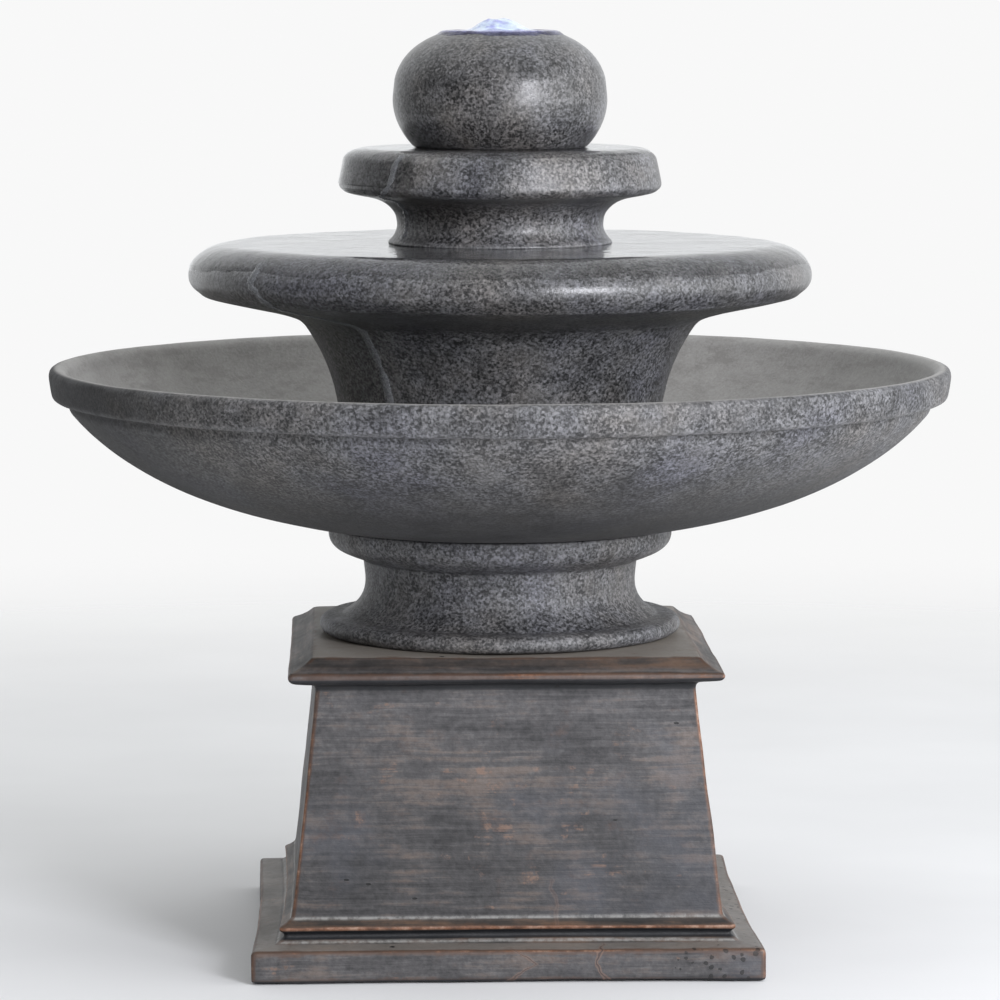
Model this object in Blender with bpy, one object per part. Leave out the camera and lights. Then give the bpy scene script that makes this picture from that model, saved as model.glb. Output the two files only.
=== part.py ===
"""Tiered garden fountain: square plinth, footed basin, two tiers, a bubbling ball and its pump."""

import math

import bmesh
import bpy
from mathutils import Matrix, Vector

# Every length here is in millimetres; meshes and places become metres as objects are made.
MM = 0.001
GAP = 0.3

# Heights above the ground at which one piece sits on another.
PAD_PROUD = 1.5
PLINTH_TOP = 219.5
FOOT_SEAT = PLINTH_TOP + GAP
FOOT_TOP = 296.7
BASIN_SEAT = FOOT_TOP + GAP
BASIN_FLOOR = 313.0
BASIN_RIM = 410.5
MIDDLE_SEAT = BASIN_FLOOR + GAP
MIDDLE_TOP = 496.6
UPPER_SEAT = MIDDLE_TOP + GAP
UPPER_TOP = 564.5
BALL_SEAT = UPPER_TOP + GAP
BALL_TOP = 647.0
RECESS_FLOOR = 627.0
LIGHT_SEAT = RECESS_FLOOR + GAP

# Half widths of the square plinth.
PLATE_HALF = 176
STEP_HALF = 157
SHAFT_LOW_HALF = 148.5
SHAFT_HIGH_HALF = 131
CAP_HALF = 150.5
CAP_TOP_HALF = 133
PLATE_WALL = 30
SHAFT_WALL = 12
CORNER_CHAMFER = 1.5

# Radii of the round castings.
FOOT_RING_RADIUS = 122.5
FOOT_BORE = 84
BASIN_RADIUS = 320
BASIN_FLAT_RADIUS = 152
COLUMN_RADIUS = 118
COLUMN_BORE = 101
COLUMN_FOOT_BORE = 105
MIDDLE_RADIUS = 221.2
UPPER_RADIUS = 114.4
UPPER_BORE = 61
BALL_RADIUS = 76
HOSE_HOLE_RADIUS = 24
BALL_BORE = 17

# Floor openings of the basin and the cable ways.
GROMMET_PLACE = Vector((-58, 30, 0))
GROMMET_HOLE_RADIUS = 9
DRAIN_PLACE = Vector((0, 135, 0))
DRAIN_HOLE_RADIUS = 9
CORD_HOLE_RADIUS = 30
CORD_NOTCH = Vector((30, 60, 36))
INLET_NOTCH = Vector((30, 80, 28))

# Submersible pump, its rotor axis along Y and its outlet on the fountain's axis.
PUMP_HALF_WIDTH = 27
PUMP_HALF_HEIGHT = 25
PUMP_FRONT = 10.3
PUMP_REAR = 66
CUP_HEIGHT = 8
ROTOR_HEIGHT = MIDDLE_SEAT + CUP_HEIGHT + GAP + PUMP_HALF_HEIGHT
PUMP_TOP = ROTOR_HEIGHT + PUMP_HALF_HEIGHT
WELL_RADIUS = 10
VOLUTE_RADIUS = 25
VOLUTE_FRONT = -14
SHAFT_RADIUS = 1.5
OUTLET_TOP = 384
BARB_TOP = 404
LIGHT_PLUG_Y = 17
LIGHT_PLUG_RADIUS = 3.6
LEAD_Y = 13.4
LEAD_RADIUS = 1.6
HOSE_BORE = 8.3
HOSE_RADIUS = 10.3
HOSE_FOOT = 388
HOSE_HEAD = 632
OUTLET_RADIUS = 9.5
INTAKE_FRONT = -36
STEM_HOLE_RADIUS = 3.3
LEAD_STUB = 5

BIG_SIDES = 36
MID_SIDES = 24
SMALL_SIDES = 16
TINY_SIDES = 10
SMOOTH_ANGLE = math.radians(32)
ON_AXIS = 1e-9


# Outlines: lists of (radius, height) corners and stretches.


def arc(centre, radii, start, end, steps, power=2.0):
    """Points of an elliptical arc, or of a squarer one with a higher power; angles in degrees."""
    points = []
    for i in range(steps + 1):
        angle = math.radians(start + (end - start) * i / steps)
        c, s = math.cos(angle), math.sin(angle)
        across = math.copysign(abs(c) ** (2 / power), c)
        up = math.copysign(abs(s) ** (2 / power), s)
        points.append((centre[0] + radii[0] * across, centre[1] + radii[1] * up))
    return points


def bezier(start, first, second, end, steps):
    """Points of a cubic curve from start to end, both included."""
    points = []
    for i in range(steps + 1):
        t = i / steps
        weights = ((1 - t) ** 3, 3 * t * (1 - t) ** 2, 3 * t * t * (1 - t), t**3)
        corners = (start, first, second, end)
        points.append(tuple(sum(w * p[k] for w, p in zip(weights, corners)) for k in (0, 1)))
    return points


def round_plan(sides):
    """Unit ring of a turned piece."""
    turns = [2 * math.pi * i / sides for i in range(sides)]
    return lambda reach: [(reach * math.cos(a), reach * math.sin(a)) for a in turns]


def square_plan(chamfer):
    """Ring of a square piece whose corners are taken off."""

    def ring(half):
        inner = half - min(chamfer, half / 4)
        corner = [(half, -inner), (half, inner), (inner, half), (-inner, half)]
        return corner + [(-x, -y) for x, y in corner]

    return ring


# Meshes.


def swept(outline, plan):
    """Closed outline carried round the plan; a corner on the axis becomes one point."""
    mesh = bmesh.new()
    rings = []
    for reach, height in outline:
        if reach < ON_AXIS:
            rings.append([mesh.verts.new((0, 0, height))])
        else:
            rings.append([mesh.verts.new((x, y, height)) for x, y in plan(reach)])
    for low, high in zip(rings, rings[1:] + rings[:1]):
        if len(low) == 1 and len(high) == 1:
            continue
        count = max(len(low), len(high))
        for i in range(count):
            j = (i + 1) % count
            corners = [low[i % len(low)], low[j % len(low)], high[j % len(high)], high[i % len(high)]]
            mesh.faces.new(dict.fromkeys(corners))
    bmesh.ops.recalc_face_normals(mesh, faces=mesh.faces)
    return mesh


def extruded(points, low, high):
    """Prism of a drawn outline."""
    mesh = bmesh.new()
    verts = [mesh.verts.new((x, y, low)) for x, y in points]
    face = mesh.faces.new(verts)
    lifted = bmesh.ops.extrude_face_region(mesh, geom=[face])
    moved = [item for item in lifted["geom"] if isinstance(item, bmesh.types.BMVert)]
    bmesh.ops.translate(mesh, verts=moved, vec=(0, 0, high - low))
    bmesh.ops.recalc_face_normals(mesh, faces=mesh.faces)
    return mesh


def block(low, high, bevel=0.0):
    """Box between two corners, its edges rounded."""
    mesh = bmesh.new()
    size = Vector(high) - Vector(low)
    middle = (Vector(high) + Vector(low)) / 2
    bmesh.ops.create_cube(mesh, size=1, matrix=Matrix.Translation(middle) @ Matrix.Diagonal((*size, 1)))
    if bevel:
        edges = list(mesh.edges)
        bmesh.ops.bevel(mesh, geom=edges, offset=bevel, segments=2, profile=0.5, affect="EDGES")
    return mesh


def rod(radius, low, high, sides=SMALL_SIDES):
    """Solid cylinder along Z."""
    return swept([(0, low), (radius, low), (radius, high), (0, high)], round_plan(sides))


def tube(bore, radius, low, high, sides=SMALL_SIDES):
    """Open ended cylinder along Z."""
    outline = [(bore, low), (radius, low), (radius, high), (bore, high)]
    return swept(outline, round_plan(sides))


def moved(mesh, offset=(0, 0, 0), turn=None):
    """Mesh turned and then shifted."""
    matrix = Matrix.Translation(offset)
    if turn:
        matrix = matrix @ turn
    bmesh.ops.transform(mesh, matrix=matrix, verts=mesh.verts)
    return mesh


def gathered(meshes):
    """Several meshes as one."""
    whole = bmesh.new()
    for mesh in meshes:
        data = bpy.data.meshes.new("gathered")
        mesh.to_mesh(data)
        mesh.free()
        whole.from_mesh(data)
        bpy.data.meshes.remove(data)
    return whole


ALONG_Y = Matrix.Rotation(math.radians(-90), 4, "X")


# Objects.


def material(name, colour, roughness, metallic=0.0, alpha=1.0):
    """Plain material of a piece."""
    made = bpy.data.materials.new(name)
    made.use_nodes = True
    shader = made.node_tree.nodes["Principled BSDF"]
    shader.inputs["Base Color"].default_value = (*colour, 1)
    shader.inputs["Roughness"].default_value = roughness
    shader.inputs["Metallic"].default_value = metallic
    shader.inputs["Alpha"].default_value = alpha
    made.diffuse_color = (*colour, alpha)
    return made


def empty(name, place, parent=None):
    """Empty that a group of pieces hangs from."""
    made = bpy.data.objects.new(name, None)
    bpy.context.collection.objects.link(made)
    made.parent = parent
    made.location = Vector(place) * MM - world_place(parent)
    return made


def world_place(obj):
    """Where an unrotated object is, in metres, summed up its parents."""
    place = Vector()
    while obj:
        place += obj.location
        obj = obj.parent
    return place


def to_data(name, mesh):
    """Mesh block in metres from a drawn mesh in millimetres."""
    bmesh.ops.scale(mesh, vec=(MM, MM, MM), verts=mesh.verts)
    data = bpy.data.meshes.new(name)
    mesh.to_mesh(data)
    mesh.free()
    return data


def piece(name, mesh, finish, place, parent):
    """Object whose mesh was drawn in world coordinates and whose origin is at place."""
    origin = Vector(place)
    bmesh.ops.translate(mesh, verts=mesh.verts, vec=-origin)
    data = to_data(name, mesh)
    data.materials.append(finish)
    data.shade_smooth()
    data.set_sharp_from_angle(angle=SMOOTH_ANGLE)
    made = bpy.data.objects.new(name, data)
    bpy.context.collection.objects.link(made)
    made.parent = parent
    made.location = origin * MM - world_place(parent)
    return made


def change(obj, name, mesh, operation):
    """Boolean with a hidden helper drawn in world coordinates."""
    helper = bpy.data.objects.new(name, to_data(name, mesh))
    bpy.context.collection.objects.link(helper)
    helper.hide_render = True
    helper.display_type = "WIRE"
    step = obj.modifiers.new(name, "BOOLEAN")
    step.operation = operation
    step.solver = "EXACT"
    step.object = helper


def cut(obj, name, meshes):
    """Material taken away."""
    change(obj, name, gathered(meshes), "DIFFERENCE")


def join(obj, name, meshes):
    """Material added on."""
    change(obj, name, gathered(meshes), "UNION")


# The castings.


def plinth_outline():
    """Stepped base plate, tapered shaft and coved cap, hollow and open below."""
    low_bore = PLATE_HALF - PLATE_WALL
    base = [
        (low_bore, PAD_PROUD),
        (PLATE_HALF, PAD_PROUD),
        (PLATE_HALF, 20.5),
        *arc((PLATE_HALF - 2.5, 20.5), (2.5, 2.5), 30, 90, 2),
        (STEP_HALF + 1.5, 25),
        (STEP_HALF, 27.5),
        (STEP_HALF, 34.5),
        (SHAFT_LOW_HALF, 39),
    ]
    cap = [
        (SHAFT_HIGH_HALF, 197.5),
        *bezier((132, 200.5), (137, 202.2), (143, 202.4), (148.4, 204), 3),
        (CAP_HALF, 207),
        *bezier((149.6, 210.6), (144.5, 212.6), (138, 216), (134.4, 219.1), 3),
        (CAP_TOP_HALF, PLINTH_TOP),
        (0, PLINTH_TOP),
    ]
    ceiling = PLINTH_TOP - SHAFT_WALL
    inside = [
        (0, ceiling),
        (SHAFT_HIGH_HALF - SHAFT_WALL, ceiling),
        (SHAFT_HIGH_HALF - SHAFT_WALL, 198),
        (SHAFT_LOW_HALF - SHAFT_WALL, 41),
        (low_bore, 34),
    ]
    return base + cap + inside


def make_plinth(finish, rubber):
    """Square plinth on four pads, with a cable hole in its top and a notch behind."""
    plan = square_plan(CORNER_CHAMFER)
    plinth = piece("plinth", swept(plinth_outline(), plan), finish, (0, 0, PAD_PROUD), None)
    pad_radius = 9
    pad_socket = 1.8
    pad_top = PAD_PROUD + pad_socket
    reach = PLATE_HALF - PLATE_WALL / 2
    corners = [(x * reach, y * reach, 0) for x in (-1, 1) for y in (-1, 1)]
    notch_low = Vector((-CORD_NOTCH.x / 2, PLATE_HALF - CORD_NOTCH.y, -GAP))
    notch_high = Vector((CORD_NOTCH.x / 2, PLATE_HALF + CORD_NOTCH.y, CORD_NOTCH.z / 2))
    notch_round = rod(CORD_NOTCH.x / 2, -CORD_NOTCH.y, CORD_NOTCH.y, SMALL_SIDES)
    at_wall = (0, PLATE_HALF, CORD_NOTCH.z / 2)
    cut(plinth, "plinth_notch_cutter", [block(notch_low, notch_high)])
    cut(plinth, "plinth_notch_arch", [moved(notch_round, at_wall, ALONG_Y)])
    holes = [moved(rod(pad_radius + GAP, -GAP, pad_top + GAP, TINY_SIDES), c) for c in corners]
    holes.append(rod(CORD_HOLE_RADIUS, PLINTH_TOP - 4 * SHAFT_WALL, PLINTH_TOP + SHAFT_WALL, MID_SIDES))
    cut(plinth, "plinth_hole_cutter", holes)
    for number, corner in enumerate(corners, 1):
        pad = moved(rod(pad_radius, 0, pad_top, TINY_SIDES), corner)
        piece(f"plinth_pad_{number}", pad, rubber, corner, plinth)
    return plinth


def foot_outline():
    """Round foot: torus, waisted neck and the ring that carries the basin."""
    return [
        (100, FOOT_SEAT),
        (119, FOOT_SEAT),
        *arc((122.4, FOOT_SEAT + 6.4), (6.6, 6.2), -75, 90, 5),
        (112, 232.9),
        *bezier((110.5, 234.5), (101, 240), (95.4, 248), (96.4, 260), 4),
        (97.8, 272.5),
        *bezier((106, 275.5), (116, 279), (121.5, 282.5), (FOOT_RING_RADIUS, 290), 3),
        (FOOT_RING_RADIUS, FOOT_TOP),
        (FOOT_BORE, FOOT_TOP),
        (FOOT_BORE, 240),
    ]


def basin_outline():
    """Shallow bowl with a banded rim and a flat floor."""
    lip = 4.8
    outside = [
        (0, BASIN_SEAT),
        (FOOT_RING_RADIUS, BASIN_SEAT),
        *bezier((126, 297.6), (203, 308.5), (268, 336), (304.5, 379.5), 8),
        *bezier((306, 381.5), (308, 386), (312, 387.5), (315.2, 390), 2),
        (BASIN_RADIUS - 3, 392.5),
        (BASIN_RADIUS, 404.5),
    ]
    rim = [
        *arc((BASIN_RADIUS - lip, BASIN_RIM - lip), (lip, lip), 30, 90, 2),
        (312, BASIN_RIM),
        (308, 407.5),
    ]
    floor_edge = (BASIN_FLAT_RADIUS, BASIN_FLOOR)
    inside = [*bezier((303.5, 398), (284, 358), (215, 322), floor_edge, 7), (0, BASIN_FLOOR)]
    return outside + rim + inside


def make_basin(stone, rubber, group):
    """Foot, bowl, the gland of the supply cord and the drain plug."""
    foot_mesh = swept(foot_outline(), round_plan(MID_SIDES))
    piece("basin_foot", foot_mesh, stone, (0, 0, FOOT_SEAT), group)
    mesh = swept(basin_outline(), round_plan(BIG_SIDES))
    basin = piece("basin", mesh, stone, (0, 0, BASIN_SEAT), group)
    low, high = BASIN_SEAT - SHAFT_WALL, BASIN_FLOOR + SHAFT_WALL
    holes = [
        moved(rod(GROMMET_HOLE_RADIUS, low, high), GROMMET_PLACE),
        moved(rod(DRAIN_HOLE_RADIUS, low, high), DRAIN_PLACE),
    ]
    cut(basin, "basin_hole_cutter", holes)
    flange, lip_round = 3, 2
    flange_low, flange_high = BASIN_SEAT - flange, BASIN_FLOOR + flange
    bore, waist, lip = 4.2, GROMMET_HOLE_RADIUS - GAP, 13
    grommet = [
        (bore, flange_low),
        (lip - lip_round, flange_low),
        (lip, BASIN_SEAT - GAP),
        (waist, BASIN_SEAT - GAP),
        (waist, BASIN_FLOOR + GAP),
        (lip, BASIN_FLOOR + GAP),
        (lip - lip_round, flange_high),
        (bore, flange_high),
    ]
    ring = moved(swept(grommet, round_plan(SMALL_SIDES)), GROMMET_PLACE)
    piece("cord_grommet", ring, rubber, GROMMET_PLACE + Vector((0, 0, BASIN_FLOOR)), group)
    return basin


def make_drain_plug(rubber, group):
    """Rubber stopper with a pull knob, lifted out of the basin floor."""
    body, head, knob, stem = DRAIN_HOLE_RADIUS - 0.4, 13, 4.5, 2.5
    top = BASIN_FLOOR + GAP
    body_end, taper = BASIN_FLOOR - 11, 1.2
    head_top, knob_top = top + 2.5, top + 12
    outline = [
        (0, body_end),
        (body - taper, body_end),
        (body, top),
        (head, top),
        (head, head_top),
        (stem, head_top + 1),
        (stem, knob_top - 6),
        (knob, knob_top - 3),
        (knob, knob_top),
        (0, knob_top),
    ]
    plug = moved(swept(outline, round_plan(SMALL_SIDES)), DRAIN_PLACE)
    piece("drain_plug", plug, rubber, DRAIN_PLACE + Vector((0, 0, BASIN_FLOOR)), group)


def middle_outline():
    """Bull-nosed disc on a hollow trumpet column."""
    nose_height = 475
    column = [
        (COLUMN_FOOT_BORE, MIDDLE_SEAT),
        (COLUMN_RADIUS, MIDDLE_SEAT),
        (COLUMN_RADIUS, 326),
        *bezier((113.2, 345), (113, 372), (113.4, 404), (139, 440), 5),
        *bezier((143, 443.5), (158, 451), (190, 455), (211, 461), 4),
    ]
    nose = [
        *arc((206, nose_height), (MIDDLE_RADIUS - 206, 13), -58, -10, 2),
        *arc((190, nose_height), (MIDDLE_RADIUS - 190, MIDDLE_TOP - nose_height), 5, 90, 5),
    ]
    inside = [
        (HOSE_HOLE_RADIUS, MIDDLE_TOP),
        (HOSE_HOLE_RADIUS, MIDDLE_TOP - SHAFT_WALL),
        (190, MIDDLE_TOP - SHAFT_WALL),
        (203, nose_height),
        (188, 467),
        *bezier((150, 459), (120, 444), (COLUMN_BORE, 414), (COLUMN_BORE, 372), 4),
        (COLUMN_BORE, 345),
    ]
    return column + nose + inside


def make_middle_tier(stone, group):
    """Middle tier, with four water notches in the foot of its column."""
    mesh = swept(middle_outline(), round_plan(BIG_SIDES))
    tier = piece("middle_tier", mesh, stone, (0, 0, MIDDLE_SEAT), group)
    reach = (COLUMN_RADIUS + COLUMN_FOOT_BORE) / 2
    notches = []
    for quarter in range(4):
        turn = Matrix.Rotation(math.radians(45 + 90 * quarter), 4, "Z")
        low = Vector((-INLET_NOTCH.x / 2, reach - INLET_NOTCH.y / 2, MIDDLE_SEAT - GAP))
        high = Vector((INLET_NOTCH.x / 2, reach + INLET_NOTCH.y / 2, MIDDLE_SEAT + INLET_NOTCH.z / 2))
        notches.append(moved(block(low, high), turn=turn))
    cut(tier, "middle_tier_notch_cutter", notches)


def upper_outline():
    """Thick cap on a short waisted neck, hollow below."""
    return [
        (66, UPPER_SEAT),
        (80, UPPER_SEAT),
        *bezier((79.5, 499), (75, 502), (73, 507), (73.1, 511), 3),
        *bezier((74, 517), (80, 529), (93, 530), (104, 531.8), 4),
        (110, 533.3),
        (UPPER_RADIUS, 537.2),
        (UPPER_RADIUS, 540),
        *arc((94, UPPER_TOP - 8.5), (17, 8.5), 5, 90, 4),
        (HOSE_HOLE_RADIUS, UPPER_TOP),
        (HOSE_HOLE_RADIUS, UPPER_TOP - SHAFT_WALL),
        (90, UPPER_TOP - SHAFT_WALL),
        (98, 547),
        (90, 542),
        (68, 536),
        (UPPER_BORE, 522),
        (UPPER_BORE, 506),
    ]


def ball_outline():
    """Squat ball, dished on top for the light and hollow below."""
    equator = 599.5
    return [
        (48, BALL_SEAT),
        (60.5, BALL_SEAT),
        *arc((0, equator), (BALL_RADIUS, 57.5), -34, 0, 4),
        *arc((0, equator), (BALL_RADIUS, 51.5), 12, 59, 5, power=2.4),
        (42, BALL_TOP - 0.6),
        (37.5, BALL_TOP),
        (35.6, BALL_TOP - 1.4),
        (35, RECESS_FLOOR),
        (BALL_BORE, RECESS_FLOOR),
        (BALL_BORE, RECESS_FLOOR - SHAFT_WALL),
        (52, RECESS_FLOOR - SHAFT_WALL),
        (63, 605),
        (64, 596),
        (60, 580),
    ]


# The pump and its rotor.


def make_cups(rubber, housing, group):
    """Four suction cups on pegs, and the peg holes that they need in the housing."""
    neck = MIDDLE_SEAT + CUP_HEIGHT
    rim, waist, peg, peg_length = 9, 4, 2.5, 3
    cup = [
        (0, MIDDLE_SEAT + 1.5),
        (rim - 2, MIDDLE_SEAT),
        (rim, MIDDLE_SEAT),
        (rim - 1, MIDDLE_SEAT + 3),
        (waist, neck),
        (peg, neck),
        (peg, neck + peg_length),
        (0, neck + peg_length),
    ]
    places = [(x * 18, y, 0) for x in (-1, 1) for y in (21, 55)]
    hole_top = neck + peg_length + 2 * GAP
    holes = [moved(rod(peg + GAP, neck - 2, hole_top, TINY_SIDES), place) for place in places]
    cut(housing, "pump_peg_cutter", holes)
    for number, place in enumerate(places, 1):
        mesh = moved(swept(cup, round_plan(TINY_SIDES)), place)
        piece(f"suction_cup_{number}", mesh, rubber, (place[0], place[1], neck), group)


def make_cover(plastic, group):
    """Front cover that forms the impeller chamber, with its intake and its outlet."""
    axis = (0, 0, ROTOR_HEIGHT)
    front, wall, back = VOLUTE_FRONT, 4, PUMP_FRONT - GAP
    cup = [
        (0, front),
        (VOLUTE_RADIUS, front),
        (VOLUTE_RADIUS, back),
        (VOLUTE_RADIUS - wall, back),
        (VOLUTE_RADIUS - wall, front + wall),
        (0, front + wall),
    ]
    volute = moved(swept(cup, round_plan(MID_SIDES)), axis, ALONG_Y)
    cover = piece("pump_cover", volute, plastic, axis, group)
    outlet_foot = ROTOR_HEIGHT + VOLUTE_RADIUS - 2.5
    join(cover, "pump_cover_outlet", [rod(OUTLET_RADIUS, outlet_foot, OUTLET_TOP)])
    intake = []
    count, ring, hole_radius, outlet_bore, socket = 6, 9, 3.2, 7, 1.2
    for i in range(count):
        angle = 2 * math.pi * i / count
        hole = rod(hole_radius, front - wall, front + 2 * wall, TINY_SIDES)
        offset = (ring * math.cos(angle), 0, ROTOR_HEIGHT + ring * math.sin(angle))
        intake.append(moved(hole, offset, ALONG_Y))
    bush_seat = rod(STEM_HOLE_RADIUS, front + socket, front + 2 * wall, TINY_SIDES)
    intake.append(moved(bush_seat, axis, ALONG_Y))
    intake.append(rod(outlet_bore, ROTOR_HEIGHT + 15, OUTLET_TOP + wall, TINY_SIDES))
    cut(cover, "pump_cover_cutter", intake)


def make_shaft(rubber, steel, group, well_end, bush_end):
    """Fixed shaft between a bush in the cover and one at the end of the well."""
    axis = (0, 0, ROTOR_HEIGHT)
    front = VOLUTE_FRONT
    bush_bore = SHAFT_RADIUS + GAP
    front_bush = tube(bush_bore, 3, front + 1.5, front + 5.5, TINY_SIDES)
    rear_bush = tube(bush_bore, 4, well_end + GAP, bush_end - GAP, TINY_SIDES)
    shaft = rod(SHAFT_RADIUS, front + 2, bush_end - 1, TINY_SIDES)
    piece("shaft_bush_front", moved(front_bush, axis, ALONG_Y), rubber, axis, group)
    piece("shaft_bush_rear", moved(rear_bush, axis, ALONG_Y), rubber, axis, group)
    piece("rotor_shaft", moved(shaft, axis, ALONG_Y), steel, axis, group)


def make_barb(plastic, group):
    """Hose barb pressed into the cover's outlet."""
    bore, spigot, root, ridge = 5, 6.6, 7.2, 8
    flange_low, flange_high = OUTLET_TOP + GAP, OUTLET_TOP + 3
    barb = [
        (bore, OUTLET_TOP - 8),
        (spigot, OUTLET_TOP - 8),
        (spigot, flange_low),
        (OUTLET_RADIUS, flange_low),
        (OUTLET_RADIUS, flange_high),
        (root, flange_high),
        (ridge, flange_high + 6),
        (root, flange_high + 6.5),
        (ridge, flange_high + 12),
        (root, BARB_TOP),
        (bore, BARB_TOP),
    ]
    piece("outlet_barb", swept(barb, round_plan(SMALL_SIDES)), plastic, (0, 0, OUTLET_TOP), group)


def make_pump(plastic, rubber, steel, group):
    """Motor housing with its stepped well, its sockets and the cord's gland."""
    low = (-PUMP_HALF_WIDTH, PUMP_FRONT, ROTOR_HEIGHT - PUMP_HALF_HEIGHT)
    high = (PUMP_HALF_WIDTH, PUMP_REAR, PUMP_TOP)
    edge_round = 5
    housing = piece("pump_housing", block(low, high, edge_round), plastic, (0, 0, ROTOR_HEIGHT), group)
    well_end, bush_end, bush_socket = 54, 59.3, 4.3
    axis = (0, 0, ROTOR_HEIGHT)
    well = [
        (0, PUMP_FRONT - 5),
        (WELL_RADIUS, PUMP_FRONT - 5),
        (WELL_RADIUS, well_end),
        (bush_socket, well_end),
        (bush_socket, bush_end),
        (0, bush_end),
    ]
    plug_socket = rod(LIGHT_PLUG_RADIUS + GAP, PUMP_TOP - 6, PUMP_TOP + 6, TINY_SIDES)
    gland_place, gland_bore, gland_radius, gland_depth = (15, 0, ROTOR_HEIGHT - 12), 2.7, 5, 7
    gland_socket = rod(gland_radius + GAP, PUMP_REAR - gland_depth - 1, PUMP_REAR + 5, TINY_SIDES)
    cuts = [
        moved(swept(well, round_plan(SMALL_SIDES)), axis, ALONG_Y),
        moved(plug_socket, (0, LIGHT_PLUG_Y, 0)),
        moved(gland_socket, gland_place, ALONG_Y),
    ]
    cut(housing, "pump_housing_cutter", cuts)
    gland = tube(gland_bore, gland_radius, PUMP_REAR - gland_depth, PUMP_REAR + 3, TINY_SIDES)
    piece("pump_cord_gland", moved(gland, gland_place, ALONG_Y), rubber, gland_place, group)
    make_cups(rubber, housing, group)
    make_cover(plastic, group)
    make_shaft(rubber, steel, group, well_end, bush_end)
    make_barb(plastic, group)


def make_rotor(plastic, magnet, group):
    """Impeller vanes and the magnet that carries them, turning on the fixed shaft."""
    axis = (0, 0, ROTOR_HEIGHT)
    vanes, hub, tip, half = 6, 4.6, 18, 0.9
    outline = []
    for i in range(vanes):
        turn = 2 * math.pi * i / vanes
        along = Vector((math.cos(turn), math.sin(turn)))
        across = Vector((-along.y, along.x)) * half
        root = along * hub
        end = along * tip
        outline += [root - across, end - across, end + across, root + across]
    vane_front, magnet_front, magnet_end = -6, 8.3, 52
    star = extruded([tuple(point) for point in outline], vane_front, magnet_front - GAP)
    impeller = piece("impeller", moved(star, axis, ALONG_Y), plastic, axis, group)
    bore = rod(SHAFT_RADIUS + GAP, vane_front - 2, magnet_front + 2, TINY_SIDES)
    cut(impeller, "impeller_bore_cutter", [moved(bore, axis, ALONG_Y)])
    clearance = 0.8
    core = tube(SHAFT_RADIUS + GAP, WELL_RADIUS - clearance, magnet_front, magnet_end, SMALL_SIDES)
    piece("rotor_magnet", moved(core, axis, ALONG_Y), magnet, axis, group)


def make_strainer(plastic, foam, group):
    """Slotted intake cage that pulls off forwards, with the foam inside it."""
    half, wall, edge_round = 27.5, 2, 3
    front, back = INTAKE_FRONT, -10
    low = (-half, front, ROTOR_HEIGHT - half)
    high = (half, back, ROTOR_HEIGHT + half)
    cage_mesh = block(low, high, edge_round)
    cage = piece("pump_strainer", cage_mesh, plastic, (0, front, ROTOR_HEIGHT), group)
    inner = half - wall
    hollow_low = (-inner, front + wall, ROTOR_HEIGHT - inner)
    hollow = block(hollow_low, (inner, back + wall, ROTOR_HEIGHT + inner))
    pitch, slot_half, slot_reach, middle_space = 6, 1.3, 19, 2
    slots = []
    for column in (-3, -2, -1, 1, 2, 3):
        x = column * pitch + math.copysign(middle_space, column)
        slot_low = (x - slot_half, front - wall, ROTOR_HEIGHT - slot_reach)
        slot_high = (x + slot_half, front + 2 * wall, ROTOR_HEIGHT + slot_reach)
        slots.append(block(slot_low, slot_high))
    stem_hole = rod(STEM_HOLE_RADIUS, front - wall, front + 2 * wall, TINY_SIDES)
    slots.append(moved(stem_hole, (0, 0, ROTOR_HEIGHT), ALONG_Y))
    cut(cage, "pump_strainer_hollow", [hollow])
    cut(cage, "pump_strainer_slots", slots)
    pad, pad_front, pad_depth = inner - 0.7, front + wall + 1.2, 9.8
    pad_low = (-pad, pad_front, ROTOR_HEIGHT - pad)
    pad_high = (pad, pad_front + pad_depth, ROTOR_HEIGHT + pad)
    piece("foam_filter", block(pad_low, pad_high), foam, (0, front, ROTOR_HEIGHT), group)


def make_flow_knob(plastic, group):
    """Dial on the strainer's face that closes down the intake."""
    front, radius, stem, chamfer, thickness = INTAKE_FRONT, 9.5, 3, 1, 6
    tip, face, stem_end = front - thickness, front - GAP, front + 2.9
    outline = [
        (0, tip),
        (radius - chamfer, tip),
        (radius, tip + chamfer),
        (radius, face),
        (stem, face),
        (stem, stem_end),
        (0, stem_end),
    ]
    axis = (0, 0, ROTOR_HEIGHT)
    dial = moved(swept(outline, round_plan(SMALL_SIDES)), axis, ALONG_Y)
    knob = piece("flow_knob", dial, plastic, axis, group)
    grip_reach, grip_half, grip_proud = 8, 1.5, 3
    grip_low = (-grip_reach, tip - grip_proud, ROTOR_HEIGHT - grip_half)
    grip_high = (grip_reach, tip + chamfer, ROTOR_HEIGHT + grip_half)
    join(knob, "flow_knob_grip", [block(grip_low, grip_high)])


# The ball's light, nozzle, hose and lead.


def ring_trough(inner, outer, floor, top, wall):
    """Open ring-shaped tray."""
    return [
        (inner, floor),
        (outer, floor),
        (outer, top),
        (outer - wall, top),
        (outer - wall, floor + wall),
        (inner + wall, floor + wall),
        (inner + wall, top),
        (inner, top),
    ]


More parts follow.
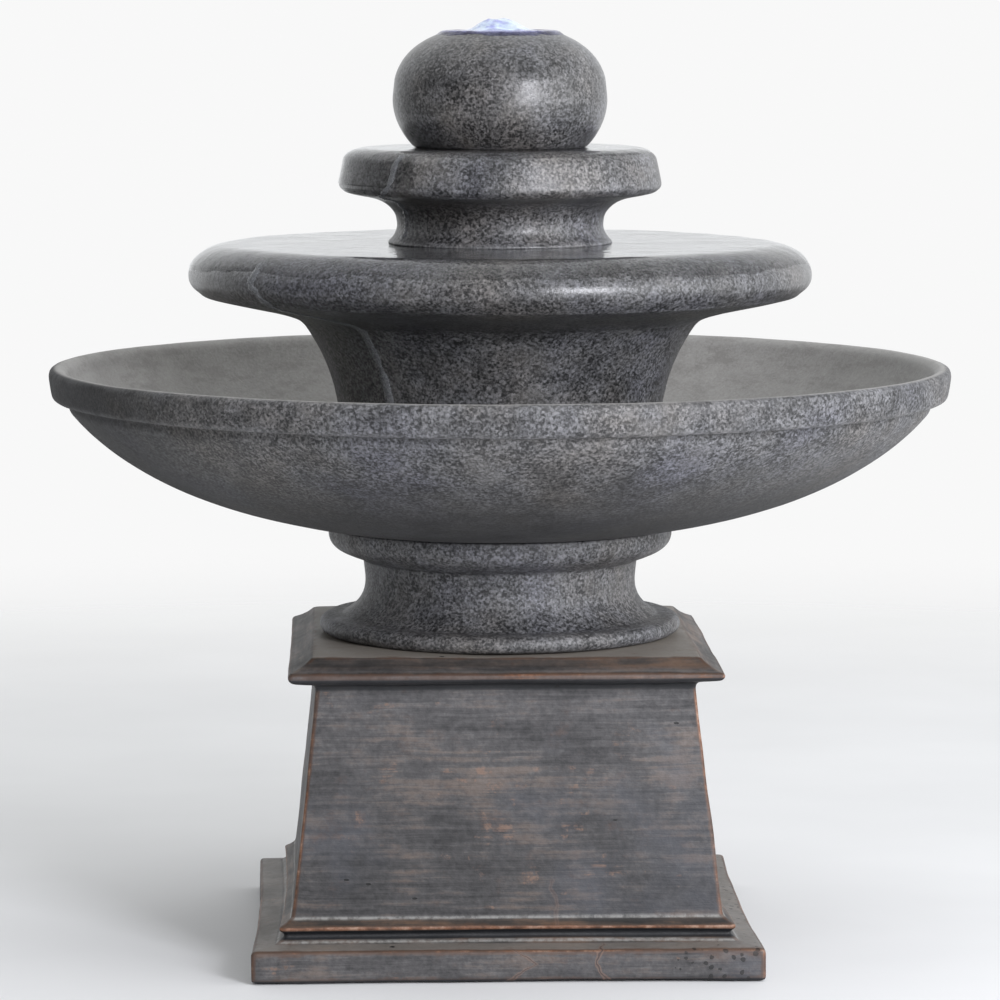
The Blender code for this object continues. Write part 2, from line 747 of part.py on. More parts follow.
def make_light(plastic, lens, board, diode, group):
    """Ring light round the hose head: tray, board with six diodes and clear lens."""
    inner, outer, wall = HOSE_RADIUS + 2 * GAP, 32, 1.5
    tray_depth, board_thickness, lens_thickness = 8.5, 1.5, 1.8
    tray_top = LIGHT_SEAT + tray_depth
    outline = ring_trough(inner, outer, LIGHT_SEAT, tray_top, wall)
    seat = (0, 0, LIGHT_SEAT)
    tray = piece("light_tray", swept(outline, round_plan(MID_SIDES)), plastic, seat, group)
    stub = rod(LEAD_RADIUS * 1.5, LIGHT_SEAT - LEAD_STUB, LIGHT_SEAT + wall / 2, TINY_SIDES)
    join(tray, "light_tray_stub", [moved(stub, (0, LEAD_Y, 0))])
    board_low = LIGHT_SEAT + wall + GAP
    board_high = board_low + board_thickness
    disc = tube(inner + wall + GAP, outer - wall - GAP, board_low, board_high, MID_SIDES)
    piece("light_board", disc, board, seat, group)
    count, ring, half, height = 6, 22, 2, 1.4
    for i in range(count):
        angle = 2 * math.pi * (i + 0.5) / count
        chip = block((-half, -half, board_high + GAP), (half, half, board_high + GAP + height))
        place = (ring * math.cos(angle), ring * math.sin(angle), 0)
        moved(chip, place, Matrix.Rotation(angle, 4, "Z"))
        piece(f"light_diode_{i + 1}", chip, diode, (place[0], place[1], board_high), group)
    lens_low = tray_top + GAP
    cover = tube(inner, outer, lens_low, lens_low + lens_thickness, MID_SIDES)
    piece("light_lens", cover, lens, seat, group)


def make_hose(vinyl, plastic, group):
    """Riser hose from the pump to the top of the ball, with the nozzle in its head."""
    hose = tube(HOSE_BORE, HOSE_RADIUS, HOSE_FOOT, HOSE_HEAD)
    piece("riser_hose", hose, vinyl, (0, 0, HOSE_FOOT), group)
    bore, spigot, tip = 5.5, HOSE_BORE - GAP, 7
    foot, top = HOSE_HEAD - 12, HOSE_HEAD + 9
    flange_low, flange_high = HOSE_HEAD + GAP, HOSE_HEAD + 3
    nozzle = [
        (bore, foot),
        (spigot, foot),
        (spigot, flange_low),
        (HOSE_RADIUS, flange_low),
        (HOSE_RADIUS, flange_high - 0.7),
        (tip, flange_high),
        (tip, top),
        (bore, top),
    ]
    piece("nozzle", swept(nozzle, round_plan(SMALL_SIDES)), plastic, (0, 0, HOSE_HEAD), group)


def lead_route(low, high, bend_high):
    """Lead's centre line: straight beside the hose, then a soft step out to the plug."""
    steps = 6
    points = []
    for i in range(steps + 1):
        t = i / steps
        ease = t * t * (3 - 2 * t)
        points.append((0, LIGHT_PLUG_Y + (LEAD_Y - LIGHT_PLUG_Y) * ease, low + (bend_high - low) * t))
    return points + [(0, LEAD_Y, (bend_high + high) / 2), (0, LEAD_Y, high)]


def make_lead(sheath, plastic, group):
    """Light's lead down the hose to its plug in the pump housing, held by ties."""
    plug_low, plug_base, plug_top = PUMP_TOP - 5.4, PUMP_TOP + GAP, PUMP_TOP + 14
    body, boot, boot_length = 5, 2.6, 4
    outline = [
        (0, plug_low),
        (LIGHT_PLUG_RADIUS, plug_low),
        (LIGHT_PLUG_RADIUS, plug_base),
        (body, plug_base),
        (body, plug_top - boot_length),
        (boot, plug_top),
        (0, plug_top),
    ]
    plug_place = (0, LIGHT_PLUG_Y, PUMP_TOP)
    plug = moved(swept(outline, round_plan(TINY_SIDES)), (0, LIGHT_PLUG_Y, 0))
    piece("light_plug", plug, plastic, plug_place, group)
    low, high, bend_length = plug_top + GAP, LIGHT_SEAT - LEAD_STUB - GAP, 40
    route = lead_route(low, high, low + bend_length)
    curve = bpy.data.curves.new("light_lead", "CURVE")
    curve.dimensions = "3D"
    curve.bevel_depth = LEAD_RADIUS * MM
    curve.bevel_resolution = 2
    curve.use_fill_caps = True
    spline = curve.splines.new("POLY")
    spline.points.add(len(route) - 1)
    for point, place in zip(spline.points, route):
        point.co = (*((Vector(place) - Vector(plug_place)) * MM), 1)
    curve.materials.append(sheath)
    lead = bpy.data.objects.new("light_lead", curve)
    bpy.context.collection.objects.link(lead)
    lead.parent = group
    lead.location = Vector(plug_place) * MM - world_place(group)
    tie_half, tie_heights = 1.8, (440, 520, 590)
    for number, middle in enumerate(tie_heights, 1):
        band = tie_band(tie_half, middle)
        piece(f"lead_tie_{number}", band, plastic, (0, 0, middle), group)


def tie_outline(offset):
    """Line pulled tight round the hose and the lead, at an offset from both."""
    lean = math.asin((HOSE_RADIUS - LEAD_RADIUS) / LEAD_Y)
    sides, tip_sides, points = 12, 4, []
    for i in range(sides + 1):
        angle = math.pi - lean + (math.pi + 2 * lean) * i / sides
        reach = HOSE_RADIUS + offset
        points.append((reach * math.cos(angle), reach * math.sin(angle)))
    for i in range(tip_sides + 1):
        angle = lean + (math.pi - 2 * lean) * i / tip_sides
        reach = LEAD_RADIUS + offset
        points.append((reach * math.cos(angle), LEAD_Y + reach * math.sin(angle)))
    return points


def tie_band(half, middle):
    """Flat band between two offsets of the tie's line."""
    mesh = bmesh.new()
    loops = []
    outer = 1.5
    for offset, height in ((GAP, -half), (outer, -half), (outer, half), (GAP, half)):
        loops.append([mesh.verts.new((x, y, middle + height)) for x, y in tie_outline(offset)])
    for low, high in zip(loops, loops[1:] + loops[:1]):
        for i, vert in enumerate(low):
            j = (i + 1) % len(low)
            mesh.faces.new((vert, low[j], high[j], high[i]))
    bmesh.ops.recalc_face_normals(mesh, faces=mesh.faces)
    return mesh


def main():
    for obj in list(bpy.data.objects):
        bpy.data.objects.remove(obj)
    stone = material("granite_resin", (0.13, 0.13, 0.14), 0.45)
    paint = material("plinth_paint", (0.1, 0.095, 0.095), 0.6)
    rubber = material("black_rubber", (0.02, 0.02, 0.02), 0.8)
    plastic = material("black_plastic", (0.03, 0.03, 0.035), 0.4)
    grey = material("grey_plastic", (0.2, 0.2, 0.21), 0.45)
    magnet = material("rotor_ferrite", (0.05, 0.05, 0.055), 0.5, metallic=0.6)
    steel = material("shaft_steel", (0.6, 0.6, 0.62), 0.25, metallic=1.0)
    foam = material("filter_foam", (0.03, 0.07, 0.16), 0.95)
    vinyl = material("clear_vinyl", (0.75, 0.78, 0.8), 0.15, alpha=0.5)
    lens = material("clear_lens", (0.85, 0.9, 0.95), 0.05, alpha=0.4)
    board = material("board_white", (0.7, 0.7, 0.68), 0.5)
    diode = material("diode_blue", (0.35, 0.45, 1.0), 0.3)
    sheath = material("lead_sheath", (0.02, 0.02, 0.022), 0.5)

    plinth = make_plinth(paint, rubber)
    basin_group = empty("basin_group", (0, 0, FOOT_SEAT), plinth)
    make_basin(stone, rubber, basin_group)
    make_pump(plastic, rubber, steel, basin_group)
    drain_group = empty("drain_group", DRAIN_PLACE + Vector((0, 0, BASIN_FLOOR)), basin_group)
    make_drain_plug(rubber, drain_group)
    rotor_group = empty("rotor_group", (0, 0, ROTOR_HEIGHT), basin_group)
    make_rotor(grey, magnet, rotor_group)
    strainer_group = empty("strainer_group", (0, 0, ROTOR_HEIGHT), basin_group)
    make_strainer(plastic, foam, strainer_group)
    make_flow_knob(grey, strainer_group)
    middle_group = empty("middle_group", (0, 0, MIDDLE_SEAT), basin_group)
    make_middle_tier(stone, middle_group)
    upper_group = empty("upper_group", (0, 0, UPPER_SEAT), middle_group)
    upper = swept(upper_outline(), round_plan(MID_SIDES))
    piece("upper_tier", upper, stone, (0, 0, UPPER_SEAT), upper_group)
    ball_group = empty("ball_group", (0, 0, BALL_SEAT), upper_group)
    ball = swept(ball_outline(), round_plan(MID_SIDES))
    piece("ball", ball, stone, (0, 0, BALL_SEAT), ball_group)
    make_light(grey, lens, board, diode, ball_group)
    make_hose(vinyl, grey, ball_group)
    make_lead(sheath, plastic, ball_group)


main()
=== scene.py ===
"""Looks of the tiered garden fountain: speckled cast tiers, painted plinth, running water, pump."""
import math

import bmesh
import bpy
from mathutils import Matrix, Vector, noise


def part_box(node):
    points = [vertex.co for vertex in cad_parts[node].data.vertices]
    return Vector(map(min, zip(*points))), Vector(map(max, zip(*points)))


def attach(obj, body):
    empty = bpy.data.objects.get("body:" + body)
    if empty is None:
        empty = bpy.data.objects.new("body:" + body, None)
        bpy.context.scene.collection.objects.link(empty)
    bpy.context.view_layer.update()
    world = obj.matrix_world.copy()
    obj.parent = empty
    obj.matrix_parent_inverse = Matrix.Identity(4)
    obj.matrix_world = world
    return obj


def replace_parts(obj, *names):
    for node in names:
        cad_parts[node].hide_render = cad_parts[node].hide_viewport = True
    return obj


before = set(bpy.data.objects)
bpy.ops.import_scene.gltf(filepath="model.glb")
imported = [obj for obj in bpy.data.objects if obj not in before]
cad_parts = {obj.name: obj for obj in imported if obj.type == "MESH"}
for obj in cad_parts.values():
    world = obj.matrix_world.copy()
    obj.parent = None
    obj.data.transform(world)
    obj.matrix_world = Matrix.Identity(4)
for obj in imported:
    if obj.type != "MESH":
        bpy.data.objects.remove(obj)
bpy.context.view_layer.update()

# Lengths are in millimetres until a mesh is made. Heights inside an outline are above the
# piece's own seat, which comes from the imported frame.
MM = 0.001
ON_AXIS = 0.01


def seat_of(node):
    """Lowest height of a node, in millimetres."""
    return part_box(node)[0].z / MM


def top_of(node):
    """Highest height of a node, in millimetres."""
    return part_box(node)[1].z / MM


PLINTH_SEAT = seat_of("plinth")
FOOT_SEAT = seat_of("basin_foot")
BASIN_SEAT = seat_of("basin")
MIDDLE_SEAT = seat_of("middle_tier")
UPPER_SEAT = seat_of("upper_tier")
BALL_SEAT = seat_of("ball")
MIDDLE_TOP = top_of("middle_tier") - MIDDLE_SEAT
UPPER_TOP = top_of("upper_tier") - UPPER_SEAT
BALL_TOP = top_of("ball") - BALL_SEAT
BASIN_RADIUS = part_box("basin")[1].x / MM
MIDDLE_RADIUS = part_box("middle_tier")[1].x / MM
UPPER_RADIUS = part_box("upper_tier")[1].x / MM
BALL_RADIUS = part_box("ball")[1].x / MM
PLATE_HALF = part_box("plinth")[1].x / MM
FLOOR_THICKNESS = 16.0
HOSE_HOLE = 24.0

# Each casting's noise seed, and how far its surface may stray from true.
STRAY = {
    "foot": (1, 0.5),
    "basin": (2, 0.5),
    "plinth": (3, 1.4),
    "middle": (4, 0.5),
    "upper": (5, 0.6),
    "ball": (6, 0.5),
}

# Air holes in the plinth's front: place across and height.
AIR_HOLES = ((-111, 67), (-96, 64), (-64, 54), (117, 173))

# Hairline cracks: place across, lean either side of the middle, height of the middle, lowest,
# highest and strength.
CRACKS = ((60, -0.5, 13, 0, 24, 1.0), (19, 1.7, 13, 0, 23, 0.8), (33, 0.06, 50, 36, 66, 0.4))

# Runs of water: where each starts and ends, in degrees round from the front, and its half width.
MIDDLE_RUNS = ((-52, -43, 5.5), (97, 92, 4.5), (178, 184, 6.0))
UPPER_RUNS = ((-42, -66, 4.5), (118, 124, 5.0))

# The middle tier's nose: height of its widest place, and reach at which its top turns down.
NOSE_HEIGHT, NOSE_START = 161.7, 190


# Outlines: lists of (reach from the axis, height) points.


def arc(centre, radii, start, end, steps=14, power=2.0):
    """Points of an elliptical arc, or of a squarer one with a higher power; angles in degrees."""
    points = []
    for i in range(steps + 1):
        angle = math.radians(start + (end - start) * i / steps)
        c, s = math.cos(angle), math.sin(angle)
        across = math.copysign(abs(c) ** (2 / power), c)
        up = math.copysign(abs(s) ** (2 / power), s)
        points.append((centre[0] + radii[0] * across, centre[1] + radii[1] * up))
    return points


def bezier(start, first, second, end, steps=20):
    """Points of a cubic curve from start to end, both included."""
    points = []
    for i in range(steps + 1):
        t = i / steps
        weights = ((1 - t) ** 3, 3 * t * (1 - t) ** 2, 3 * t * t * (1 - t), t**3)
        corners = (start, first, second, end)
        points.append(tuple(sum(w * p[k] for w, p in zip(weights, corners)) for k in (0, 1)))
    return points


def evenly(points, spacing, closed):
    """Same line with its points a fixed distance apart."""
    line = points + points[:1] if closed else points
    lengths = [math.dist(a, b) for a, b in zip(line, line[1:])]
    total = sum(lengths)
    count = max(2, round(total / spacing))
    result, index, walked = [], 0, 0.0
    for i in range(count if closed else count + 1):
        target = total * i / count
        while index < len(lengths) - 1 and walked + lengths[index] < target:
            walked += lengths[index]
            index += 1
        t = min(1.0, (target - walked) / lengths[index]) if lengths[index] else 0.0
        a, b = line[index], line[index + 1]
        result.append((a[0] + (b[0] - a[0]) * t, a[1] + (b[1] - a[1]) * t))
    return result


def softened(points, rounds, closed):
    """Line whose corners are rounded off, as those of a cast piece are."""
    for _ in range(rounds):
        last = len(points) - 1
        relaxed = []
        for i, point in enumerate(points):
            if not closed and i in (0, last):
                relaxed.append(point)
                continue
            before, after = points[i - 1], points[(i + 1) % len(points)]
            relaxed.append(tuple((before[k] + 2 * point[k] + after[k]) / 4 for k in (0, 1)))
        points = relaxed
    return points


def with_normals(points, closed):
    """(reach, height, normal across, normal up) for each point; normals point out of the piece."""
    area = sum(a[0] * b[1] - b[0] * a[1] for a, b in zip(points, points[1:] + points[:1]))
    side = math.copysign(1, area)
    result = []
    last = len(points) - 1
    for i, point in enumerate(points):
        before = points[i - 1] if closed or i else point
        after = points[(i + 1) % len(points)] if closed or i < last else point
        run = (after[0] - before[0], after[1] - before[1])
        length = math.hypot(*run) or 1
        result.append((*point, side * run[1] / length, -side * run[0] / length))
    return result


def bend_between(first, second):
    """Angle between the normals of two rows."""
    cross = first[2] * second[3] - first[3] * second[2]
    return abs(math.atan2(cross, first[2] * second[2] + first[3] * second[3]))


def thinned(rows, widest, turn):
    """Rows that a line needs: close together where it bends, wider apart where it runs straight."""
    kept = [rows[0]]
    reach, bend = 0.0, 0.0
    allowed = 1.0
    for before, row, after in zip(rows, rows[1:], rows[2:] + rows[:1]):
        reach += math.dist(before[:2], row[:2])
        bend += bend_between(before, row)
        if bend + bend_between(row, after) > turn or reach >= allowed or row is rows[-1]:
            kept.append(row)
            allowed = 1.5 if bend > turn / 2 else min(widest, 1.5 * reach + 0.5)
            reach, bend = 0.0, 0.0
    return kept


def cast_line(points, closed=True, softness=4, widest=7.0, turn=math.radians(5)):
    """Outline of a casting: even, soft-edged and with its normals."""
    line = softened(evenly(points, 1.0, closed), softness, closed)
    return thinned(with_normals(line, closed), widest, turn)


# Surfaces.


def unevenness(point, stray):
    """How far a hand-finished surface stands off its true shape, in millimetres."""
    seed, amount = stray
    shift = Vector((seed * 17.3, seed * 5.1, seed * 9.7))
    broad = noise.noise(Vector(point) / 90 + shift)
    close = noise.noise(Vector(point) / 28 - shift)
    return amount * (0.7 * broad + 0.3 * close)


def to_object(name, mesh):
    """Object in metres from a mesh drawn in millimetres."""
    bmesh.ops.recalc_face_normals(mesh, faces=mesh.faces)
    bmesh.ops.scale(mesh, vec=(MM, MM, MM), verts=mesh.verts)
    data = bpy.data.meshes.new(name)
    mesh.to_mesh(data)
    mesh.free()
    data.shade_smooth()
    made = bpy.data.objects.new(name, data)
    bpy.context.collection.objects.link(made)
    return made


def bridge(mesh, rings, closed):
    """Joins each ring of vertices to the next; a ring may be a single vertex."""
    following = rings[1:] + rings[:1] if closed else rings[1:]
    for low, high in zip(rings, following):
        sides = max(len(low), len(high))
        if sides == 1:
            continue
        for i in range(sides):
            j = (i + 1) % sides
            corners = [low[i % len(low)], low[j % len(low)], high[j % len(high)], high[i % len(high)]]
            mesh.faces.new(dict.fromkeys(corners))


def angles(sides):
    return [2 * math.pi * i / sides for i in range(sides)]


def on_outline(row, angle, seat):
    """Point of a turned outline's row at an angle about the axis."""
    return (row[0] * math.cos(angle), row[0] * math.sin(angle), seat + row[1])


def stood_off(mesh, row, angle, seat, stand):
    """Vertex that stands off a turned outline's row along its normal."""
    reach, height, across, up = row
    far = reach + stand * across
    return mesh.verts.new((far * math.cos(angle), far * math.sin(angle), seat + height + stand * up))


def turned(name, outline, seat, stray, closed=True, sides=240):
    """Casting turned about the axis, a little out of true."""
    mesh = bmesh.new()
    rings = []
    for row in outline:
        if row[0] < ON_AXIS:
            rings.append([mesh.verts.new((0, 0, seat + row[1]))])
            continue
        ring = []
        for angle in angles(sides):
            off = unevenness(on_outline(row, angle, seat), stray)
            ring.append(stood_off(mesh, row, angle, seat, off))
        rings.append(ring)
    bridge(mesh, rings, closed)
    return to_object(name, mesh)


def square_ring(half, corner, across=26, round_steps=4):
    """Ring of a square with round corners, its points closer together towards the corners."""
    inner = half - corner
    side = [inner * math.sin(math.pi / 2 * (2 * i / across - 1)) for i in range(across + 1)]
    bend = [math.pi / 2 * i / round_steps for i in range(1, round_steps)]
    quarter = [(half, y) for y in side]
    quarter += [(inner + corner * math.cos(a), inner + corner * math.sin(a)) for a in bend]
    ring = []
    for _ in range(4):
        ring += quarter
        quarter = [(-y, x) for x, y in quarter]
    return ring


def sunken(ring, half, sag):
    """Square ring whose sides sink in towards their middles."""

    def pull(along):
        return 1 - sag * (1 - (along / half) ** 2) / half

    return [(x * pull(y), y * pull(x)) for x, y in ring]


def squared(name, outline, seat, stray, corner, sag):
    """Square casting, a little out of true; sag gives how far its sides sink in at a height."""
    mesh = bmesh.new()
    rings = []
    for reach, height, _, _ in outline:
        if reach < ON_AXIS:
            rings.append([mesh.verts.new((0, 0, seat + height))])
            continue
        points = sunken(square_ring(reach, min(corner, reach / 4)), reach, sag(height))
        rings.append([mesh.verts.new((x, y, seat + height)) for x, y in points])
    bridge(mesh, rings, True)
    bmesh.ops.recalc_face_normals(mesh, faces=mesh.faces)
    mesh.normal_update()
    shifts = [(v, v.normal * unevenness(v.co, stray)) for v in mesh.verts]
    for vert, shift in shifts:
        vert.co += shift
    return to_object(name, mesh)


def rod(radius, low, high, sides=48):
    """Solid cylinder along Z."""
    mesh = bmesh.new()
    lift = Matrix.Translation((0, 0, (low + high) / 2))
    bmesh.ops.create_cone(
        mesh, cap_ends=True, segments=sides, radius1=radius, radius2=radius, depth=high - low, matrix=lift
    )
    return mesh


def block(low, high):
    """Box between two corners."""
    mesh = bmesh.new()
    size = Vector(high) - Vector(low)
    middle = (Vector(high) + Vector(low)) / 2
    bmesh.ops.create_cube(mesh, size=1, matrix=Matrix.Translation(middle) @ Matrix.Diagonal((*size, 1)))
    return mesh


def moved(mesh, offset=(0, 0, 0), turn=None):
    """Mesh turned and then shifted."""
    matrix = Matrix.Translation(offset)
    if turn:
        matrix = matrix @ turn
    bmesh.ops.transform(mesh, matrix=matrix, verts=mesh.verts)
    return mesh


def carve(obj, cutters):
    """Takes each cutter's shape out of the object for good."""
    helpers = []
    for mesh in cutters:
        helper = to_object("cutter", mesh)
        step = obj.modifiers.new("carve", "BOOLEAN")
        step.operation = "DIFFERENCE"
        step.solver = "EXACT"
        step.object = helper
        helpers.append(helper)
    graph = bpy.context.evaluated_depsgraph_get()
    carved = bpy.data.meshes.new_from_object(obj.evaluated_get(graph))
    obj.modifiers.clear()
    obj.data = carved
    for helper in helpers:
        bpy.data.objects.remove(helper)
    carved.shade_smooth()
    carved.set_sharp_from_angle(angle=math.radians(50))


def mark(obj, name, values):
    """Stores one number for each vertex."""
    layer = obj.data.attributes.new(name, "FLOAT", "POINT")
    layer.data.foreach_set("value", values)


def mark_edges(obj, sharpest):
    """Marks how convex and how hollow the surface is at each vertex, from 0 to 1."""
    mesh = bmesh.new()
    mesh.from_mesh(obj.data)
    mesh.normal_update()
    convex, hollow = [], []
    for vert in mesh.verts:
        bends = []
        for edge in vert.link_edges:
            away = vert.co - edge.other_vert(vert).co
            bends.append(vert.normal.dot(away) / max(away.length_squared, 1e-8))
        convex.append(min(1.0, max(0.0, max(bends) * MM * sharpest)))
        hollow.append(min(1.0, max(0.0, -min(bends) * MM * sharpest)))
    mesh.free()
    mark(obj, "convex", convex)
    mark(obj, "hollow", hollow)


def mark_by(obj, name, rule):
    """Marks each vertex with a rule of its place in millimetres and its normal."""
    mark(obj, name, [rule(v.co / MM, v.normal) for v in obj.data.vertices])


def ramp_up(value, low, high):
    """Eased rise from 0 to 1 between two values."""
    t = min(1.0, max(0.0, (value - low) / (high - low)))
    return t * t * (3 - 2 * t)


# Materials.


class Recipe:
    """Node tree of one material, put together a node at a time."""

    def __init__(self, name):
        self.material = bpy.data.materials.new(name)
        self.material.use_nodes = True
        self.tree = self.material.node_tree
        self.shader = self.tree.nodes["Principled BSDF"]
        self.place = self.node("ShaderNodeTexCoord").outputs["Object"]

    def node(self, kind, **settings):
        made = self.tree.nodes.new(kind)
        for key, value in settings.items():
            setattr(made, key, value)
        return made

    def feed(self, socket, value):
        """Links an output, or sets a plain value."""
        if isinstance(value, bpy.types.NodeSocket):
            self.tree.links.new(value, socket)
        elif isinstance(value, (tuple, list)) and len(value) == 3 and socket.type == "RGBA":
            socket.default_value = (*value, 1)
        else:
            socket.default_value = value

    def stretched(self, stretch, place=None):
        made = self.node("ShaderNodeMapping")
        self.feed(made.inputs["Vector"], place or self.place)
        made.inputs["Scale"].default_value = stretch
        return made.outputs["Vector"]

    def noise(self, scale, detail=2.0, roughness=0.5, place=None, output="Fac"):
        made = self.node("ShaderNodeTexNoise")
        self.feed(made.inputs["Vector"], place or self.place)
        made.inputs["Scale"].default_value = scale
        made.inputs["Detail"].default_value = detail
        made.inputs["Roughness"].default_value = roughness
        return made.outputs[output]

    def cells(self, scale, place=None, feature="F1", output="Distance"):
        made = self.node("ShaderNodeTexVoronoi", feature=feature)
        self.feed(made.inputs["Vector"], place or self.place)
        made.inputs["Scale"].default_value = scale
        return made.outputs[output]

    def one_of(self, colour):
        """One random number out of a cell's colour."""
        made = self.node("ShaderNodeSeparateColor")
        self.feed(made.inputs["Color"], colour)
        return made.outputs["Red"]

    def calc(self, operation, first, second=0.0):
        made = self.node("ShaderNodeMath", operation=operation)
        self.feed(made.inputs[0], first)
        self.feed(made.inputs[1], second)
        return made.outputs[0]

    def times(self, first, second):
        return self.calc("MULTIPLY", first, second)

    def plus(self, first, second):
        return self.calc("ADD", first, second)

    def most(self, first, second):
        return self.calc("MAXIMUM", first, second)

    def rest_of(self, value):
        """What a share leaves over."""
        return self.calc("SUBTRACT", 1.0, value)

    def band(self, value, low, high, bottom=0.0, top=1.0):
        """Eased rise of a value from bottom to top as it goes from low to high."""
        made = self.node("ShaderNodeMapRange", interpolation_type="SMOOTHSTEP")
        for socket, number in zip(made.inputs, (value, low, high, bottom, top)):
            self.feed(socket, number)
        return made.outputs["Result"]

    def ramp(self, value, stops):
        made = self.node("ShaderNodeValToRGB")
        self.feed(made.inputs["Fac"], value)
        marks = made.color_ramp.elements
        while len(marks) < len(stops):
            marks.new(0.5)
        for item, (position, colour) in zip(marks, stops):
            item.position = position
            item.color = (*colour, 1)
        return made.outputs["Color"]

    def mix(self, factor, first, second, mode="MIX"):
        made = self.node("ShaderNodeMix", data_type="RGBA", blend_type=mode)
        self.feed(made.inputs["Factor"], factor)
        self.feed(made.inputs[6], first)
        self.feed(made.inputs[7], second)
        return made.outputs[2]

    def mark(self, name):
        return self.node("ShaderNodeAttribute", attribute_name=name).outputs["Fac"]

    def xyz(self, vector):
        split = self.node("ShaderNodeSeparateXYZ")
        self.feed(split.inputs[0], vector)
        return [split.outputs[axis] for axis in "XYZ"]

    def upward(self):
        """How far the surface faces up, from -1 to 1."""
        return self.xyz(self.node("ShaderNodeNewGeometry").outputs["Normal"])[2]

    def warped(self, scale, reach, place=None):
        """Place pushed about by noise, so that grains lose their straight sides."""
        push = self.node("ShaderNodeVectorMath", operation="MULTIPLY_ADD")
        self.feed(push.inputs[0], self.noise(scale, 2, 0.6, place, output="Color"))
        self.feed(push.inputs[1], (reach,) * 3)
        self.feed(push.inputs[2], place or self.place)
        return push.outputs[0]

    def bump(self, height, depth, strength=1.0, under=None):
        made = self.node("ShaderNodeBump")
        made.inputs["Distance"].default_value = depth
        self.feed(made.inputs["Strength"], strength)
        self.feed(made.inputs["Height"], height)
        if under:
            self.feed(made.inputs["Normal"], under)
        return made.outputs["Normal"]

    def finish(self, colour=None, roughness=None, normal=None, **constants):
        for name, value in (("Base Color", colour), ("Roughness", roughness), ("Normal", normal)):
            if value is not None:
                self.feed(self.shader.inputs[name], value)
        for name, value in constants.items():
            self.feed(self.shader.inputs[name.replace("_", " ")], value)
        return self.material


def grains(r, clump):
    """Speckle value and fine grains of the granite."""
    place = r.warped(600, 0.0014)
    coarse = r.one_of(r.cells(580, place, output="Color"))
    fine = r.one_of(r.cells(900, place, output="Color"))
    worms = r.noise(520, 3, 0.6, place)
    value = r.plus(r.times(coarse, 0.3), r.times(fine, 0.08))
    value = r.plus(value, r.times(r.band(worms, 0.32, 0.68), 0.3))
    return r.plus(value, r.times(clump, 0.32)), fine


def stone_outside(r, value, broad, patches, brushed_and_shaded, lift):
    """Colour of a casting's outside: speckled, rubbed plain in places, plainer and darker with painted
    shade where marked.
    """
    tones = [
        (0.3, (0.016, 0.016, 0.017)),
        (0.42, (0.05, 0.05, 0.052)),
        (0.5, (0.1, 0.1, 0.103)),
        (0.62, (0.148, 0.148, 0.153)),
        (0.78, (0.24, 0.24, 0.25)),
    ]
    plain_value = r.plus(r.times(value, 0.4), r.times(patches, 0.6))
    plain = r.ramp(plain_value, [(0.3, (0.055, 0.053, 0.051)), (0.7, (0.115, 0.112, 0.108))])
    rubbed = r.most(r.times(r.band(patches, 0.48, 0.68), 0.55), r.times(brushed_and_shaded, 0.8))
    colour = r.mix(rubbed, r.ramp(value, tones), plain)
    cloud_tones = ((0.32, 0.5), (0.5, 0.92), (0.68, 1.2))
    clouds = [(level, (lift * tone, lift * tone, lift * tone * 1.01)) for level, tone in cloud_tones]
    colour = r.mix(1.0, colour, r.ramp(patches, clouds), "MULTIPLY")
    tints = [(0.35, (0.94, 0.95, 1.06)), (0.5, (1.0, 1.0, 1.0)), (0.65, (1.06, 1.0, 0.92))]
    colour = r.mix(1.0, colour, r.ramp(broad, tints), "MULTIPLY")
    # Painted shade: darkened where marked, low on the basin's bowl and towards its left side.
    return r.mix(r.times(brushed_and_shaded, 0.92), colour, (0.015, 0.015, 0.016))


def stone_inside(r, colour, value, patches, inside):
    """Smoother, browner and stained inside of the bowl, over the outside's colour."""
    tones = [(0.32, (0.27, 0.262, 0.247)), (0.5, (0.34, 0.33, 0.313)), (0.68, (0.4, 0.39, 0.372))]
    bowl = r.ramp(r.plus(r.times(value, 0.3), r.times(patches, 0.7)), tones)
    colour = r.mix(r.times(inside, 0.93), colour, bowl)
    stains = r.band(r.noise(1.0, 5, 0.7, r.warped(15, 0.12, r.stretched((26, 26, 90)))), 0.5, 0.62)
    return r.mix(r.times(r.times(stains, inside), 0.3), colour, (0.16, 0.15, 0.138))


def stone_pits(r, broad, inside):
    """Air pits: few and large inside the bowl, pin holes elsewhere."""
    spots = r.warped(150, 0.006)
    lucky = r.band(r.one_of(r.cells(17, spots, output="Color")), 0.62, 0.95)
    bowl_pits = r.times(r.calc("LESS_THAN", r.cells(17, spots), r.times(lucky, 0.085)), inside)
    pin_holes = r.calc("LESS_THAN", r.cells(60, spots), r.times(r.band(broad, 0.4, 0.7), 0.09))
    return r.most(bowl_pits, r.times(pin_holes, r.rest_of(inside)))


